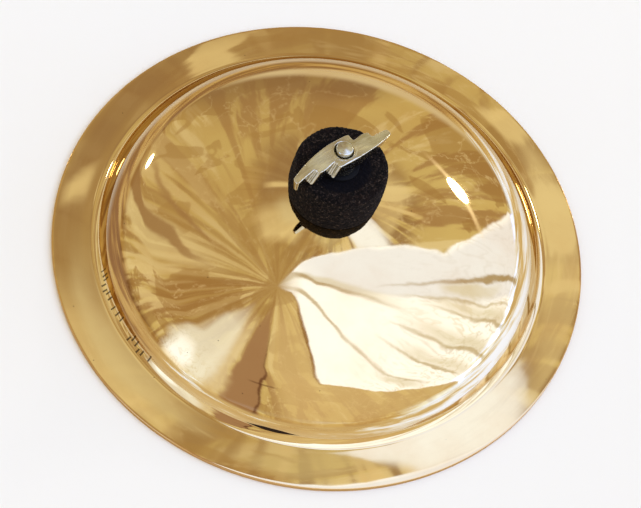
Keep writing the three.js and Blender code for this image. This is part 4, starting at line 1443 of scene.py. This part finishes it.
class AddStudio(bpy.types.Operator):
    """Set up the camera, the paper floor, the light tent and its two lamps"""

    bl_idname = "bell_cymbal.add_studio"
    bl_label = "Studio"

    def execute(self, context):
        sizes = context.scene.studio
        scene = context.scene
        paper = bmesh.new()
        bmesh.ops.create_grid(paper, x_segments=1, y_segments=1, size=sizes.floor_size)
        bmesh.ops.translate(paper, verts=paper.verts, vec=(0, 0, -0.02 * MM))
        floor = new_object("paper_floor", paper)
        floor.data.materials.append(paper_material(sizes))

        lens = bpy.data.cameras.new("camera")
        lens.sensor_width = SENSOR_WIDTH_MM
        lens.lens = FOCAL_LENGTH_PX / IMAGE_WIDTH * SENSOR_WIDTH_MM
        camera = bpy.data.objects.new("camera", lens)
        scene.collection.objects.link(camera)
        rim_middle = Vector((0, 0, context.scene.bell_sizes.rim_thickness))
        away = Vector((0, -math.cos(sizes.elevation), math.sin(sizes.elevation)))
        forward = -away
        right = Vector((1, 0, 0))
        level = Matrix((right, right.cross(forward).normalized(), away)).transposed()
        # The rim's middle lies a little off the photograph's middle, so the view is turned by that
        across = math.atan((RIM_MIDDLE_PX[0] - IMAGE_WIDTH / 2) / FOCAL_LENGTH_PX)
        down = math.atan((IMAGE_HEIGHT / 2 - RIM_MIDDLE_PX[1]) / FOCAL_LENGTH_PX)
        turn = (
            level @ Matrix.Rotation(sizes.roll, 3, "Z") @ Matrix.Rotation(across, 3, "Y")
            @ Matrix.Rotation(-down, 3, "X"))
        camera.matrix_world = Matrix.Translation(rim_middle + away * sizes.distance) @ turn.to_4x4()
        scene.camera = camera

        tent_world(sizes)
        for name, heading, polar, power, wide in (
                ("right_lamp", 54.6, 63, 0.9, 0.2), ("left_lamp", 146, 74, 0.5, 0.12)):
            lamp = bpy.data.lights.new(name, "AREA")
            lamp.shape = "ELLIPSE"
            lamp.size = wide
            lamp.size_y = 0.09
            lamp.energy = power
            stand = bpy.data.objects.new(name, lamp)
            aim = Vector((
                math.sin(math.radians(polar)) * math.cos(math.radians(heading)),
                math.sin(math.radians(polar)) * math.sin(math.radians(heading)),
                math.cos(math.radians(polar))))
            facing = aim.to_track_quat("Z", "Y").to_matrix().to_4x4()
            stand.matrix_world = Matrix.Translation(aim * LAMP_DISTANCE) @ facing
            scene.collection.objects.link(stand)
        scene.view_settings.view_transform = "Standard"
        return {"FINISHED"}


STEPS = (AddStudio, AddBell, AddFelts, AddSleeveAndWashers, AddRodAndNuts, AddWingNut)


class BellPanel(bpy.types.Panel):
    """Lists the steps that build the bell, and the sizes and colours they use"""

    bl_idname = "VIEW3D_PT_bell_cymbal"
    bl_label = "Bell Cymbal"
    bl_space_type = "VIEW_3D"
    bl_region_type = "UI"
    bl_category = "Bell Cymbal"

    def draw(self, context):
        for step in STEPS:
            self.layout.operator(step.bl_idname)
        for group in ("bell_sizes", "felt_sizes", "clamp_sizes", "studio"):
            sizes = getattr(context.scene, group)
            box = self.layout.box()
            for name in sizes.__annotations__:
                box.prop(sizes, name)


GROUPS = (
    ("bell_sizes", BellProperties),
    ("felt_sizes", FeltProperties),
    ("clamp_sizes", ClampProperties),
    ("studio", StudioProperties),
)


def register():
    for name, group in GROUPS:
        bpy.utils.register_class(group)
        setattr(bpy.types.Scene, name, bpy.props.PointerProperty(type=group))
    for kind in (*STEPS, BellPanel):
        bpy.utils.register_class(kind)


def unregister():
    for kind in (BellPanel, *reversed(STEPS)):
        bpy.utils.unregister_class(kind)
    for name, group in reversed(GROUPS):
        delattr(bpy.types.Scene, name)
        bpy.utils.unregister_class(group)


def main():
    register()
    bpy.ops.bell_cymbal.add_studio()
    bpy.ops.bell_cymbal.add_bell()
    bpy.ops.bell_cymbal.add_felts()
    bpy.ops.bell_cymbal.add_sleeve_and_washers()
    bpy.ops.bell_cymbal.add_rod_and_nuts()
    bpy.ops.bell_cymbal.add_wing_nut()


if __name__ == "__main__":
    main()
